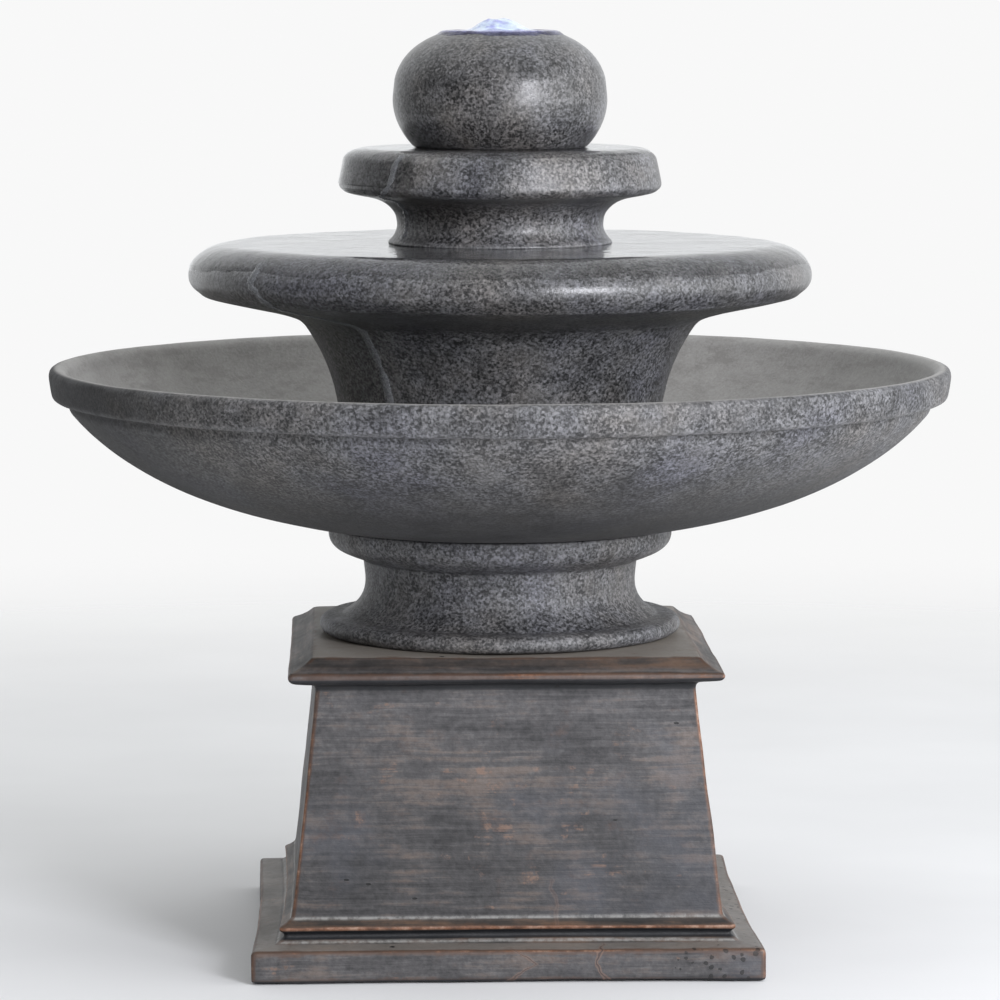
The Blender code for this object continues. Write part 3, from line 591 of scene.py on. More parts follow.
def granite(name, lift=1.0):
    """Cast granite resin: salt and pepper grains, smoother and browner inside, glossy where wet, with
    painted shade in hollows and painted highlights on convex edges.
    """
    r = Recipe(name)
    marks = ("inside", "damp", "convex", "hollow", "brushed_and_shaded")
    inside, damp, convex, hollow, brushed_and_shaded = (r.mark(key) for key in marks)
    broad, patches, clump = r.noise(9, 4, 0.6), r.noise(24, 5, 0.7), r.noise(62, 4, 0.65)
    value, fine = grains(r, clump)
    colour = stone_outside(r, value, broad, patches, brushed_and_shaded, lift)
    colour = stone_inside(r, colour, value, patches, inside)
    # Painted shade: darkened in hollows and grooves.
    colour = r.mix(r.times(hollow, 0.38), colour, (0.01, 0.01, 0.01))
    # Painted highlight: convex edges lightened in broken dashes.
    edge = r.times(r.times(convex, r.band(clump, 0.3, 0.6)), 0.4)
    colour = r.mix(edge, colour, (0.26, 0.26, 0.265))
    pits = stone_pits(r, broad, inside)
    colour = r.mix(r.times(pits, 0.8), colour, (0.02, 0.019, 0.018))
    scratch_place = r.warped(20, 0.2, r.stretched((14, 200, 60)))
    scratches = r.band(r.noise(1.0, 3, 0.7, scratch_place), 0.68, 0.74)
    colour = r.mix(r.times(r.times(scratches, inside), 0.35), colour, (0.42, 0.4, 0.37))
    colour = r.mix(r.times(damp, 0.1), colour, (0.02, 0.02, 0.018))
    dry = r.band(patches, 0.3, 0.7, 0.42, 0.6)
    rough = r.times(dry, r.rest_of(r.times(damp, 0.55)))
    rough = r.plus(rough, r.plus(r.times(fine, 0.08), r.times(brushed_and_shaded, 0.35)))
    height = r.plus(r.times(value, 0.8), r.times(r.noise(900, 2, 0.5), 0.25))
    height = r.calc("SUBTRACT", height, r.times(pits, 1.5))
    strength = r.calc("SUBTRACT", 0.5, r.times(r.most(inside, r.times(damp, 0.6)), 0.3))
    normal = r.bump(patches, 0.004, 0.3, r.bump(height, 0.0006, strength))
    gloss = r.times(damp, 0.5)
    return r.finish(colour, rough, normal, Coat_Weight=gloss, Coat_Roughness=0.28, Coat_IOR=1.36)


def air_holes(r, across, up):
    """Small pits left by air in the front of the plinth's shaft."""
    found = 0.0
    for hole_across, hole_height in AIR_HOLES:
        x = r.plus(across, -hole_across * MM)
        z = r.times(r.plus(up, -hole_height * MM), 2.4)
        far = r.calc("SQRT", r.plus(r.times(x, x), r.times(z, z)))
        found = r.most(found, r.band(far, 0.0021, 0.0014))
    return found


def cracked(r, colour, across, up, front, crack):
    """Draws a hairline crack with copper showing along its sides."""
    place, lean, middle, low, high, strength = crack
    wander = r.times(r.plus(r.noise(45, 3, 0.6), -0.5), 0.02)
    off_middle = r.calc("ABSOLUTE", r.plus(up, -middle * MM))
    aside = r.plus(r.plus(across, -place * MM), r.times(off_middle, lean))
    distance = r.calc("ABSOLUTE", r.plus(aside, wander))
    zone = r.band(up, (high + 1) * MM, (high - 1) * MM)
    zone = r.times(front, r.times(zone, r.band(up, (low - 1) * MM, (low + 1) * MM)))
    sides = r.times(r.band(distance, 0.0022, 0.0012), r.times(zone, 0.5 * strength))
    colour = r.mix(sides, colour, (0.2, 0.125, 0.095))
    line = r.times(r.band(distance, 0.0008, 0.0003), r.times(zone, 0.65 * strength))
    return r.mix(line, colour, (0.02, 0.016, 0.016))


def paint_coat(r, value, streaks, patches, mottle, part_way_up):
    """Paint with brush marks: warm and blue in patches, dark on the slopes, darker low down and paler on
    top as painted light and shade, with painted highlights on the ledges and painted shade in coves, under
    the cap, along the bottom edge and in hollows.
    """
    painted_shade, ledge, hollow = r.mark("painted_shade"), r.mark("ledge"), r.mark("hollow")
    tones = [
        (0.38, (0.026, 0.026, 0.028)),
        (0.44, (0.054, 0.052, 0.054)),
        (0.51, (0.094, 0.09, 0.092)),
        (0.58, (0.152, 0.147, 0.148)),
        (0.67, (0.27, 0.262, 0.257)),
    ]
    # Painted light and shade by height: lighter on the plate and towards the top, darkest over the lower
    # shaft.
    levels = [(0.1, 0.78), (0.16, 0.48), (0.5, 0.54), (0.8, 0.76), (0.95, 1.15)]
    shade = r.ramp(part_way_up, [(level, (tone, tone, tone)) for level, tone in levels])
    base = r.mix(1.0, r.ramp(value, tones), shade, "MULTIPLY")
    warm = r.band(r.plus(r.times(patches, 0.6), r.times(streaks, 0.4)), 0.5, 0.62)
    base = r.mix(r.times(warm, 0.42), base, (0.15, 0.1, 0.072))
    base = r.mix(r.times(r.band(r.noise(7, 4, 0.6), 0.5, 0.68), 0.35), base, (0.082, 0.09, 0.112))
    scuffs = r.times(r.band(r.noise(46, 5, 0.7), 0.6, 0.68), r.band(streaks, 0.45, 0.6))
    base = r.mix(r.times(scuffs, 0.5), base, (0.26, 0.15, 0.1))
    slanted = r.times(r.band(r.upward(), 0.25, 0.6), r.band(r.upward(), 0.98, 0.85))
    bevel_value = r.plus(r.times(streaks, 0.5), r.times(patches, 0.5))
    bevels = [(0.42, (0.022, 0.019, 0.016)), (0.5, (0.05, 0.037, 0.028)), (0.6, (0.13, 0.076, 0.046))]
    base = r.mix(r.times(slanted, 0.75), base, r.ramp(bevel_value, bevels))
    # Painted highlight: the cap's top face paler.
    on_top = r.times(r.band(r.upward(), 0.9, 0.98), r.band(part_way_up, 0.9, 0.97, 0.42, 0.8))
    base = r.mix(on_top, base, (0.29, 0.258, 0.22))
    # Painted highlight: pale, mottled lines along the ledges.
    base = r.mix(r.times(ledge, r.band(mottle, 0.3, 0.62, 0.25, 0.8)), base, (0.33, 0.325, 0.31))
    # Painted shade, near black, in the low cove, under the cap and along the bottom edge.
    base = r.mix(r.times(painted_shade, 0.94), base, (0.004, 0.006, 0.009))
    # Painted shade: darkened in hollows.
    return r.mix(r.times(hollow, 0.6), base, (0.01, 0.01, 0.011))


def rubbed_copper(r, base, streaks):
    """Copper showing along the arrises, brighter where it is rubbed most."""
    # No copper shows where the painted shade lies.
    unshaded = r.rest_of(r.mark("painted_shade"))
    chips = r.plus(r.times(r.plus(r.noise(55, 5, 0.7), -0.5), 1.1), r.times(r.plus(streaks, -0.5), 0.4))
    bared = r.plus(r.mark("convex"), chips)
    rim = r.times(r.band(bared, 0.06, 0.4), 0.6)
    worn = r.times(r.band(bared, 0.5, 0.9), unshaded)
    tones = [(0.36, (0.085, 0.034, 0.015)), (0.5, (0.2, 0.086, 0.042)), (0.66, (0.4, 0.25, 0.175))]
    colour = r.mix(r.times(rim, unshaded), base, (0.085, 0.042, 0.024))
    return r.mix(r.times(worn, 0.8), colour, r.ramp(r.noise(90, 4, 0.65), tones))


def paint_pits(r, across, up, front):
    """Pits all over, air holes in the shaft's front, and pocks at the plate's right end."""
    pit_place = r.warped(120, 0.003, r.stretched((1, 1, 1.9)))
    pit_size = r.times(r.band(r.one_of(r.cells(26, pit_place, output="Color")), 0.6, 1.0), 0.06)
    pits = r.calc("LESS_THAN", r.cells(26, pit_place), pit_size)
    zone = r.times(r.band(across, 0.1, 0.13), r.band(up, 0.026, 0.022))
    pock_place = r.warped(110, 0.005)
    pock_size = r.band(r.one_of(r.cells(190, pock_place, output="Color")), 0.35, 0.65, 0.05, 0.36)
    pocks = r.calc("LESS_THAN", r.cells(190, pock_place), r.times(zone, pock_size))
    holes = r.times(front, air_holes(r, across, up))
    return r.most(r.most(pits, holes), r.times(pocks, 0.7))


def slate_paint(name):
    """Dark paint with brush marks, and copper rubbed through along the arrises."""
    r = Recipe(name)
    sway = r.warped(14, 0.004)
    streaks = r.noise(1.0, 6, 0.66, r.stretched((9, 9, 260), sway))
    fine_streaks = r.noise(1.0, 4, 0.62, r.stretched((34, 34, 800), sway))
    patches = r.noise(18, 5, 0.7, r.stretched((1, 1, 1.7)))
    mottle = r.noise(230, 4, 0.65)
    value = r.plus(r.times(streaks, 0.26), r.times(fine_streaks, 0.14))
    value = r.plus(value, r.plus(r.times(patches, 0.38), r.times(mottle, 0.22)))
    across, back, up = r.xyz(r.place)
    front = r.calc("LESS_THAN", back, 0.0)
    part_way_up = r.times(up, 1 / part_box("plinth")[1].z)
    colour = paint_coat(r, value, streaks, patches, mottle, part_way_up)
    colour = rubbed_copper(r, colour, streaks)
    pits = paint_pits(r, across, up, front)
    colour = r.mix(pits, colour, (0.006, 0.006, 0.006))
    for crack in CRACKS:
        colour = cracked(r, colour, across, up, front, crack)
    rough = r.plus(r.band(value, 0.35, 0.65, 0.6, 0.44), r.times(mottle, 0.08))
    height = r.plus(r.times(streaks, 0.45), r.plus(r.times(fine_streaks, 0.25), r.times(mottle, 0.45)))
    height = r.calc("SUBTRACT", height, r.times(pits, 1.6))
    return r.finish(colour, rough, r.bump(patches, 0.003, 0.4, r.bump(height, 0.0006, 0.55)))


def water(name, tint=(1, 1, 1), roughness=0.03, clearness=1.0):
    """Clear water with small ripples."""
    r = Recipe(name)
    ripples = r.plus(r.noise(70, 3, 0.5), r.times(r.noise(220, 2, 0.5), 0.3))
    normal = r.bump(ripples, 0.0012, 0.4)
    rough = r.band(r.noise(40, 2, 0.5), 0.3, 0.7, roughness, roughness + 0.05)
    return r.finish(tint, rough, normal, Transmission_Weight=clearness, IOR=1.33)


def lit_water(name):
    """Aerated water over the ring light: milky, with the diodes' violet light and glow painted into it
    towards the dish's rim.
    """
    r = Recipe(name)
    x, y, _ = r.xyz(r.place)
    far = r.calc("SQRT", r.plus(r.times(x, x), r.times(y, y)))
    churn = r.noise(70, 3, 0.6)
    white = r.ramp(churn, [(0.38, (0.5, 0.52, 0.95)), (0.5, (0.75, 0.88, 1.0)), (0.62, (0.9, 1.0, 1.0))])
    violet = r.ramp(churn, [(0.42, (0.2, 0.19, 0.42)), (0.6, (0.42, 0.43, 0.72))])
    # Painted light: the water glows by emission, white over the light and the diodes' violet towards the
    # rim.
    glow = r.mix(r.band(far, 0.018, 0.03), white, violet)
    strength = r.times(r.band(far, 0.037, 0.047, 0.26, 0.0), r.band(churn, 0.35, 0.6, 0.4, 1.0))
    normal = r.bump(r.noise(120, 3, 0.6), 0.002, 0.4)
    return r.finish(
        glow,
        0.16,
        normal,
        Transmission_Weight=r.band(far, 0.026, 0.04, 0.6, 0.96),
        IOR=1.33,
        Emission_Color=glow,
        Emission_Strength=strength,
    )


def moulded(name, colour, roughness, grain=0.35, metallic=0.0):
    """Moulded plastic or rubber: fine grain and a little variation."""
    r = Recipe(name)
    patches = r.noise(45, 4, 0.6)
    grain_height = r.noise(1600, 3, 0.6)
    dark = tuple(c * 0.75 for c in colour)
    light = tuple(min(1.0, c * 1.25 + 0.004) for c in colour)
    tone = r.ramp(patches, [(0.35, dark), (0.65, light)])
    wear = r.plus(r.times(patches, 0.6), r.times(grain_height, 0.4))
    rough = r.band(wear, 0.35, 0.65, roughness - 0.07, roughness + 0.09)
    return r.finish(tone, rough, r.bump(grain_height, 0.0003, grain), Metallic=metallic)


def foam(name):
    """Open-celled filter foam."""
    r = Recipe(name)
    pores = r.cells(700, r.warped(500, 0.001))
    tone = r.ramp(pores, [(0.2, (0.008, 0.014, 0.03)), (0.6, (0.05, 0.1, 0.22))])
    return r.finish(tone, 0.95, r.bump(pores, 0.0012, 0.9))


def steel(name):
    """Ground steel with marks round the axis."""
    r = Recipe(name)
    rings = r.noise(1.0, 4, 0.6, r.stretched((200, 2500, 200)))
    tone = r.ramp(rings, [(0.3, (0.4, 0.4, 0.42)), (0.7, (0.65, 0.65, 0.67))])
    return r.finish(tone, r.band(rings, 0.3, 0.7, 0.2, 0.36), r.bump(rings, 0.0001, 0.3), Metallic=1.0)


def clear(name, tint, roughness):
    """Clear plastic with faint haze."""
    r = Recipe(name)
    haze = r.noise(120, 4, 0.6)
    normal = r.bump(r.noise(60, 2, 0.5), 0.0006, 0.2)
    tone = r.ramp(haze, [(0.3, tuple(c * 0.93 for c in tint)), (0.7, tint)])
    rough = r.band(haze, 0.35, 0.7, roughness, roughness + 0.12)
    return r.finish(tone, rough, normal, Transmission_Weight=0.9, IOR=1.5)


def circuit_board(name):
    """White lacquered board with pale tracks under the lacquer."""
    r = Recipe(name)
    tracks = r.cells(260, feature="DISTANCE_TO_EDGE")
    tone = r.ramp(tracks, [(0.05, (0.5, 0.52, 0.48)), (0.12, (0.72, 0.72, 0.7))])
    return r.finish(tone, r.band(tracks, 0.0, 0.2, 0.3, 0.45), r.bump(tracks, 0.0002, 0.4))


def diode(name):
    """Lit diode: blue white, brightest at its die."""
    r = Recipe(name)
    glow = r.noise(500, 2, 0.5)
    tone = r.ramp(glow, [(0.3, (0.25, 0.32, 1.0)), (0.7, (0.6, 0.7, 1.0))])
    return r.finish(tone, 0.3, None, Emission_Color=tone, Emission_Strength=20.0)


# Castings.


def plinth_line():
    """Stepped plate, tapered shaft and coved cap over a hollow."""
    low, step, shaft_low, shaft_high = PLATE_HALF, 157, 148.5, 131
    base = [
        (low - 30, 0),
        (low, 0),
        (low, 19),
        *arc((low - 2.5, 19), (2.5, 2.5), 30, 90),
        (step + 2.5, 23),
        (step - 0.5, 25.5),
        *bezier((step - 2.6, 26.5), (step - 4.4, 28), (step - 4.4, 30.5), (step, 32.2)),
        (step, 34),
        (shaft_low + 2.8, 37.2),
        (shaft_low, 40),
    ]
    cap = [
        (shaft_high, 196),
        *bezier((132, 199), (137, 200.7), (143, 200.9), (148.4, 202.5)),
        (150.5, 205.5),
        *bezier((149.6, 208.6), (144, 210.4), (137.4, 213.6), (134.4, 217.4)),
        (133, 218),
        (0, 218),
    ]
    inside = [(0, 206), (shaft_high - 12, 206), (shaft_high - 12, 196.5), (136.5, 39.5), (low - 30, 32.5)]
    return base + cap + inside


def cast_plinth(paint):
    """Square plinth with its cable hole and notch."""
    line = cast_line(plinth_line(), closed=False, softness=3, widest=9)
    corner, base_sag = 2.4, 2.6

    def sag(height):
        return base_sag * (1 - ramp_up(height, 33, 42))

    body = squared("plinth_casting", line, PLINTH_SEAT, STRAY["plinth"], corner, sag)
    across_y = Matrix.Rotation(math.radians(-90), 4, "X")
    half, deep = 15, 60
    notch = block((-half, PLATE_HALF - deep, -5), (half, PLATE_HALF + deep, 18))
    arch = moved(rod(half, -deep, deep), (0, PLATE_HALF, 18), across_y)
    hole = rod(30, PLINTH_SEAT + 170, PLINTH_SEAT + 230)
    carve(body, [notch, arch, hole])
    mark_edges(body, 3.4)
    cove_low, cove_high, cove_foot = PLINTH_SEAT + 26, PLINTH_SEAT + 31.5, PLINTH_SEAT + 23.8
    cap_low, cap_arris = PLINTH_SEAT + 196, PLINTH_SEAT + 205.5

    # Painted shade: near black in the low cove, under the cap's overhang and along the bottom edge.
    def painted_shade(place, normal):
        low_cove = ramp_up(place.z, cove_low - 0.6, cove_low + 0.4)
        low_cove *= 1 - ramp_up(place.z, cove_high, cove_high + 1)
        under_cap = ramp_up(place.z, cap_low - 2, cap_low)
        under_cap *= 1 - ramp_up(place.z, cap_arris - 0.6, cap_arris + 0.2)
        skirt = 1 - ramp_up(place.z, PLINTH_SEAT + 0.8, PLINTH_SEAT + 2.6)
        return max(low_cove, 0.95 * under_cap, skirt)

    # Painted highlight: pale lines along the ledge at the cove's foot and at the shaft's foot.
    def ledge(place, normal):
        reach = max(abs(place.x), abs(place.y))
        foot_line = ramp_up(place.z, cove_foot - 0.6, cove_foot + 0.4)
        foot_line *= 1 - ramp_up(place.z, cove_low - 1, cove_low)
        shaft_line = ramp_up(place.z, PLINTH_SEAT + 38.2, PLINTH_SEAT + 39)
        shaft_line *= 1 - ramp_up(place.z, PLINTH_SEAT + 40, PLINTH_SEAT + 41)
        return max(foot_line * (1 - ramp_up(reach, 159, 161)), shaft_line)

    mark_by(body, "painted_shade", painted_shade)
    mark_by(body, "ledge", ledge)
    body.data.materials.append(paint)
    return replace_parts(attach(body, "plinth"), "plinth")


def foot_line():
    """Ring foot of the basin, waisted and flared, over a hollow."""
    return [
        (100, 0),
        (119, 0),
        *arc((122.4, 6.4), (6.6, 6.2), -75, 90),
        (112, 13.1),
        *bezier((110.5, 14.7), (101, 20.2), (95.4, 28.2), (96.4, 40.2)),
        (97.8, 52.7),
        *bezier((106, 55.7), (116, 59.2), (121.5, 62.7), (122.5, 70.2)),
        (122.5, 76.9),
        (84, 76.9),
        (84, 20.2),
    ]


def basin_line():
    """Shallow bowl with a band under its rim."""
    outer = BASIN_RADIUS
    lip, rim = 4.8, 113.5
    return [
        (0, 0),
        (122.5, 0),
        *bezier((126, 0.6), (203, 11.5), (268, 39), (304.5, 82.5)),
        *bezier((305.4, 84), (306.4, 86.5), (305.6, 90.8), (308.5, 91.4)),
        (outer - 5, 91),
        (outer - 2.4, 92.6),
        (outer - 1.2, 99),
        (outer, 107.5),
        *arc((outer - lip, rim - lip), (lip, lip), 30, 90),
        (312, rim),
        (308, rim - 3),
        *bezier((303.5, 101), (284, 61), (215, 25), (152, FLOOR_THICKNESS)),
        (0, FLOOR_THICKNESS),
    ]


def middle_line():
    """Trumpet column under a round-nosed disc, hollow."""
    nose, outer, top = NOSE_HEIGHT, MIDDLE_RADIUS, MIDDLE_TOP
    return [
        (105, 0),
        (118, 0),
        (118, 12.7),
        *bezier((113.2, 31.7), (113, 58.7), (113.4, 90.7), (139, 126.7)),
        *bezier((143, 130.2), (158, 137.7), (190, 141.7), (211, 147.7)),
        *arc((206, nose), (outer - 206, 13), -58, -10),
        *arc((NOSE_START, nose), (outer - NOSE_START, top - nose), 5, 90),
        (HOSE_HOLE, top),
        (HOSE_HOLE, top - 12),
        (190, top - 12),
        (203, nose),
        (188, 153.7),
        *bezier((150, 145.7), (120, 130.7), (101, 100.7), (101, 58.7)),
        (101, 31.7),
    ]


def upper_line():
    """Waisted neck under a thick cap, hollow."""
    outer, top = UPPER_RADIUS, UPPER_TOP
    return [
        (66, 0),
        (80, 0),
        *bezier((79.5, 2.1), (75, 5.1), (73, 10.1), (73.1, 14.1)),
        *bezier((74, 20.1), (80, 32.1), (93, 33.1), (104, 34.9)),
        (110, 36.4),
        (outer, 40.3),
        (outer, 43.1),
        *arc((94, top - 8.5), (17, 8.5), 5, 90),
        (HOSE_HOLE, top),
        (HOSE_HOLE, top - 12),
        (90, top - 12),
        (98, 50.1),
        (90, 45.1),
        (68, 39.1),
        (61, 25.1),
        (61, 9.1),
    ]


def ball_line():
    """Squat ball with a dish in its top, hollow."""
    top, equator, dish = BALL_TOP, 34.7, 62.2
    return [
        (48, 0),
        (60.5, 0),
        *arc((0, equator), (BALL_RADIUS, 57.5), -34, 0),
        *arc((0, equator), (BALL_RADIUS, 51.5), 12, 59, power=2.4),
        (42, top - 0.6),
        (37.5, top),
        (35.6, top - 1.4),
        (35, dish),
        (17, dish),
        (17, dish - 12),
        (52, dish - 12),
        (63, 40.2),
        (64, 31.2),
        (60, 15.2),
    ]


def all_over(amount):
    """Rule that marks every vertex alike."""

    def rule(place, normal):
        return amount

    return rule


def stone_piece(obj, node, body, stone, damp, inside=all_over(0.0), brushed_and_shaded=all_over(0.0)):
    """Marks a casting's surface, gives it its stone and puts it in the CAD node's place."""
    mark_edges(obj, 3.0)
    mark_by(obj, "damp", damp)
    mark_by(obj, "inside", inside)
    mark_by(obj, "brushed_and_shaded", brushed_and_shaded)
    obj.data.materials.append(stone)
    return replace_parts(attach(obj, body), node)


def middle_of(node):
    """Middle of a node's box, in millimetres."""
    low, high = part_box(node)
    return (low + high) / 2 / MM


def cast_foot(stone):
    foot = turned("foot_casting", cast_line(foot_line()), FOOT_SEAT, STRAY["foot"])
    stone_piece(foot, "basin_foot", "basin", stone, all_over(0.0))


def cast_basin(stone):
    """Basin with the holes for its grommet and drain plug."""
    bowl = cast_line(basin_line(), closed=False)
    basin = turned("basin_casting", bowl, BASIN_SEAT, STRAY["basin"], closed=False, sides=288)
    holes = []
    for place in (middle_of("cord_grommet"), middle_of("drain_plug")):
        through = rod(9, BASIN_SEAT - 10, BASIN_SEAT + FLOOR_THICKNESS + 10)
        holes.append(moved(through, (place.x, place.y, 0)))
    carve(basin, holes)

    def in_bowl(place, normal):
        reach = math.hypot(place.x, place.y)
        return ramp_up(normal.z, 0.1, 0.5) * (1 - ramp_up(reach, BASIN_RADIUS - 6, BASIN_RADIUS - 2.5))

    # Mark for a plainer, smoothed look and for painted shade: highest low on the bowl and towards its left
    # side.
    def brushed_and_shaded(place, normal):
        low = 1 - ramp_up(place.z, BASIN_SEAT + 12, BASIN_SEAT + 78)
        left = ramp_up(-place.x, 170, 300)
        return min(1.0, 0.82 * low + 0.8 * left)

    def faint_damp(place, normal):
        return 0.15 * in_bowl(place, normal)

    stone_piece(basin, "basin", "basin", stone, faint_damp, in_bowl, brushed_and_shaded)


def cast_middle(stone):
    """Middle tier with the four notches that let water in to the pump."""
    middle = turned("middle_casting", cast_line(middle_line()), MIDDLE_SEAT, STRAY["middle"])
    notches = []
    for quarter in range(4):
        turn = Matrix.Rotation(math.radians(45 + 90 * quarter), 4, "Z")
        cutter = block((-15, 71, MIDDLE_SEAT - 5), (15, 152, MIDDLE_SEAT + 14))
        notches.append(moved(cutter, turn=turn))
    carve(middle, notches)
    nose_low = MIDDLE_SEAT + 150

    def damp(place, normal):
        return 0.25 + 0.6 * ramp_up(place.z, nose_low, nose_low + 14)

    stone_piece(middle, "middle_tier", "middle_tier", stone, damp)


def past_wet_edge(place):
    """How far a place lies to the left of the edge of the sheet that falls from the upper tier."""
    return -place.x - 0.25 * place.y


def cast_upper(stone):
    cap = cast_line(upper_line(), widest=5)
    upper = turned("upper_casting", cap, UPPER_SEAT, STRAY["upper"], sides=192)

    def damp(place, normal):
        return 0.45 + 0.5 * ramp_up(past_wet_edge(place), 84, 90)

    stone_piece(upper, "upper_tier", "upper_tier", stone, damp)


def cast_ball(stone):
    globe = cast_line(ball_line(), widest=4)
    ball = turned("ball_casting", globe, BALL_SEAT, STRAY["ball"], sides=192)
    stone_piece(ball, "ball", "ball", stone, all_over(0.72))


# Water.


def lathe_fill(name, line, seat, ripple, sides=160):
    """Body of water turned about the axis; ripple gives the height to add at each surface point."""
    mesh = bmesh.new()
    rings = []
    for reach, height, lift in line:
        if reach < ON_AXIS:
            rings.append([mesh.verts.new((0, 0, seat + height + lift * ripple(0, 0)))])
            continue
        ring = []
        for angle in angles(sides):
            x, y = reach * math.cos(angle), reach * math.sin(angle)
            ring.append(mesh.verts.new((x, y, seat + height + lift * ripple(x, y))))
        rings.append(ring)
    bridge(mesh, rings, False)
    return to_object(name, mesh)


def as_water(obj, body, finish):
    obj.data.materials.append(finish)
    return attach(obj, body)


def film(name, path, seat, stray, depth_at, sides=200, sunk=0.35):
    """Sheet of water over a casting's surface. Where depth_at is negative the sheet runs out."""
    mesh = bmesh.new()
    tops, bottoms = [], []
    for step, row in enumerate(path):
        top_ring, bottom_ring = [], []
        for angle in angles(sides):
            point = on_outline(row, angle, seat)
            off = unevenness(point, stray)
            wet = max(-sunk * 0.8, depth_at(step / (len(path) - 1), angle, Vector(point)))
            top_ring.append(stood_off(mesh, row, angle, seat, off + wet))
            bottom_ring.append(stood_off(mesh, row, angle, seat, off - sunk))
        tops.append(top_ring)
        bottoms.append(bottom_ring)
    bridge(mesh, tops + bottoms[::-1], True)
    return to_object(name, mesh)


def outward(points):
    """Softened line along the top of a casting, its normals pointing out."""
    line = with_normals(softened(evenly(points, 1.0, False), 4, False), False)
    if line[5][3] < 0:
        line = [(reach, height, -across, -up) for reach, height, across, up in line]
    return line


def compass(angle):
    """Direction at an angle round the axis."""
    return Vector((math.cos(angle), math.sin(angle), 0))


def middle_film(finish):
    """Water standing on the middle tier and creeping over its nose."""
    points = [(60, MIDDLE_TOP), (NOSE_START, MIDDLE_TOP)]
    nose_radii = (MIDDLE_RADIUS - NOSE_START, MIDDLE_TOP - NOSE_HEIGHT)
    points += arc((NOSE_START, NOSE_HEIGHT), nose_radii, 90, 0)
    path = thinned(outward(points), 4.0, math.radians(4))

    def depth_at(along, angle, point):
        spot = Vector((point.x, point.y, 0))
        swell = noise.noise(spot / 24) * 0.22 + noise.noise(spot / 9) * 0.06
        around = compass(angle)
        shore = 0.86 + 0.08 * noise.noise(around * 3.1) + 0.05 * noise.noise(around * 11)
        shore += 0.12 * max(0.0, -math.cos(angle)) ** 6
        return (0.9 + swell) * ramp_up(shore - along, 0.0, 0.12) - 0.25

    sheet = film("middle_film", path, MIDDLE_SEAT, STRAY["middle"], depth_at)
    return as_water(sheet, "middle_tier", finish)


def cap_film(finish):
    """Water lying on the upper tier round the ball, and falling from its left side."""
    points = [(58, UPPER_TOP), *arc((94, UPPER_TOP - 8.5), (17, 8.5), 90, 5), (UPPER_RADIUS, 43.1)]
    path = thinned(outward(points), 3.0, math.radians(5))

    def depth_at(along, angle, point):
        swell = noise.noise(point / 14) * 0.2
        around = compass(angle)
        shore = 0.62 + 0.12 * noise.noise(around * 4.3) + 0.06 * noise.noise(around * 13)
        shore += 0.5 * ramp_up(past_wet_edge(point), 82, 89)
        return (0.7 + swell) * ramp_up(shore - along, 0.0, 0.1) - 0.2

    return as_water(film("cap_film", path, UPPER_SEAT, STRAY["upper"], depth_at), "upper_tier", finish)


def rivulet(name, rows, seat, stray, run):
    """Beaded run of water down a casting's outside."""
    start, end, wide = run
    front = math.radians(270)
    steps_across, sunk, depth, seed = 8, 0.3, 1.5, stray[0]
    mesh = bmesh.new()
    loops = []
    for step, row in enumerate(rows):
        along = step / (len(rows) - 1)
        drift = start + (end - start) * ramp_up(along, 0.1, 0.85)
        middle = front + math.radians(drift) + 0.02 * noise.noise(Vector((along * 9, seed, 0)))
        beads = 0.75 + 0.6 * noise.noise(Vector((along * 26, seed, 3)))
        ends = ramp_up(min(along, 1 - along), -0.02, 0.05)
        top_row, bottom_row = [], []
        for i in range(steps_across + 1):
            across = 2 * i / steps_across - 1
            angle = middle + across * wide * beads / row[0]
            off = unevenness(on_outline(row, angle, seat), stray)
            swell = (1 - across * across) * depth * beads * ends
            top_row.append(stood_off(mesh, row, angle, seat, off + swell - 0.12))
            bottom_row.append(stood_off(mesh, row, angle, seat, off - sunk))
        loops.append(top_row + bottom_row[::-1])
    bridge(mesh, loops, False)
    mesh.faces.new(loops[0])
    mesh.faces.new(loops[-1])
    return to_object(name, mesh)


def outer_rows(line, low, high, narrow):
    """Rows of a casting's outside from one height down to another."""
    line = with_normals(softened(evenly(line, 1.0, True), 4, True), True)
    highest = max(range(len(line)), key=lambda i: (round(line[i][1], 1), line[i][0]))
    outside = [row for row in line[: highest + 1] if low <= row[1] <= high and row[0] > narrow]
    return thinned(outside[::-1], 4.0, math.radians(6))


def runs(finish):
    """Water running down from the upper and middle tiers."""
    middle_rows = outer_rows(middle_line(), 28, MIDDLE_TOP - 3, 104)
    upper_rows = outer_rows(upper_line(), 3, UPPER_TOP - 2, 70)
    tiers = (
        ("middle", middle_rows, MIDDLE_SEAT, MIDDLE_RUNS),
        ("upper", upper_rows, UPPER_SEAT, UPPER_RUNS),
    )
    for tier, rows, seat, tier_runs in tiers:
        for number, run in enumerate(tier_runs, 1):
            bead = rivulet(f"{tier}_run_{number}", rows, seat, STRAY[tier], run)
            as_water(bead, f"{tier}_tier", finish)


def basin_pool(finish):
    """Pool in the basin, up to its water line."""
    surface = 50.0
    inside = bezier((303.5, 101), (284, 61), (215, 25), (152, FLOOR_THICKNESS), 40)
    wall = [point for point in inside if point[1] < surface]
    shore = wall[0][0] + 1.5
    line = [(0, surface, 1.0)]
    line += [(reach, surface, 1.0) for reach in range(10, int(shore), 10)]
    line += [(shore, surface, 0.0)]
    line += [(reach + 0.3, height - 0.5, 0.0) for reach, height in wall]
    line += [(0, FLOOR_THICKNESS - 0.5, 0.0)]

    def ripple(x, y):
        spot = Vector((x, y, 0))
        reach = spot.length
        rings = math.sin(reach / 7.5) * math.exp(-max(0.0, reach - 118) / 60)
        return 0.35 * rings + 0.5 * noise.noise(spot / 30)

    return as_water(lathe_fill("basin_pool", line, BASIN_SEAT, ripple), "basin", finish)


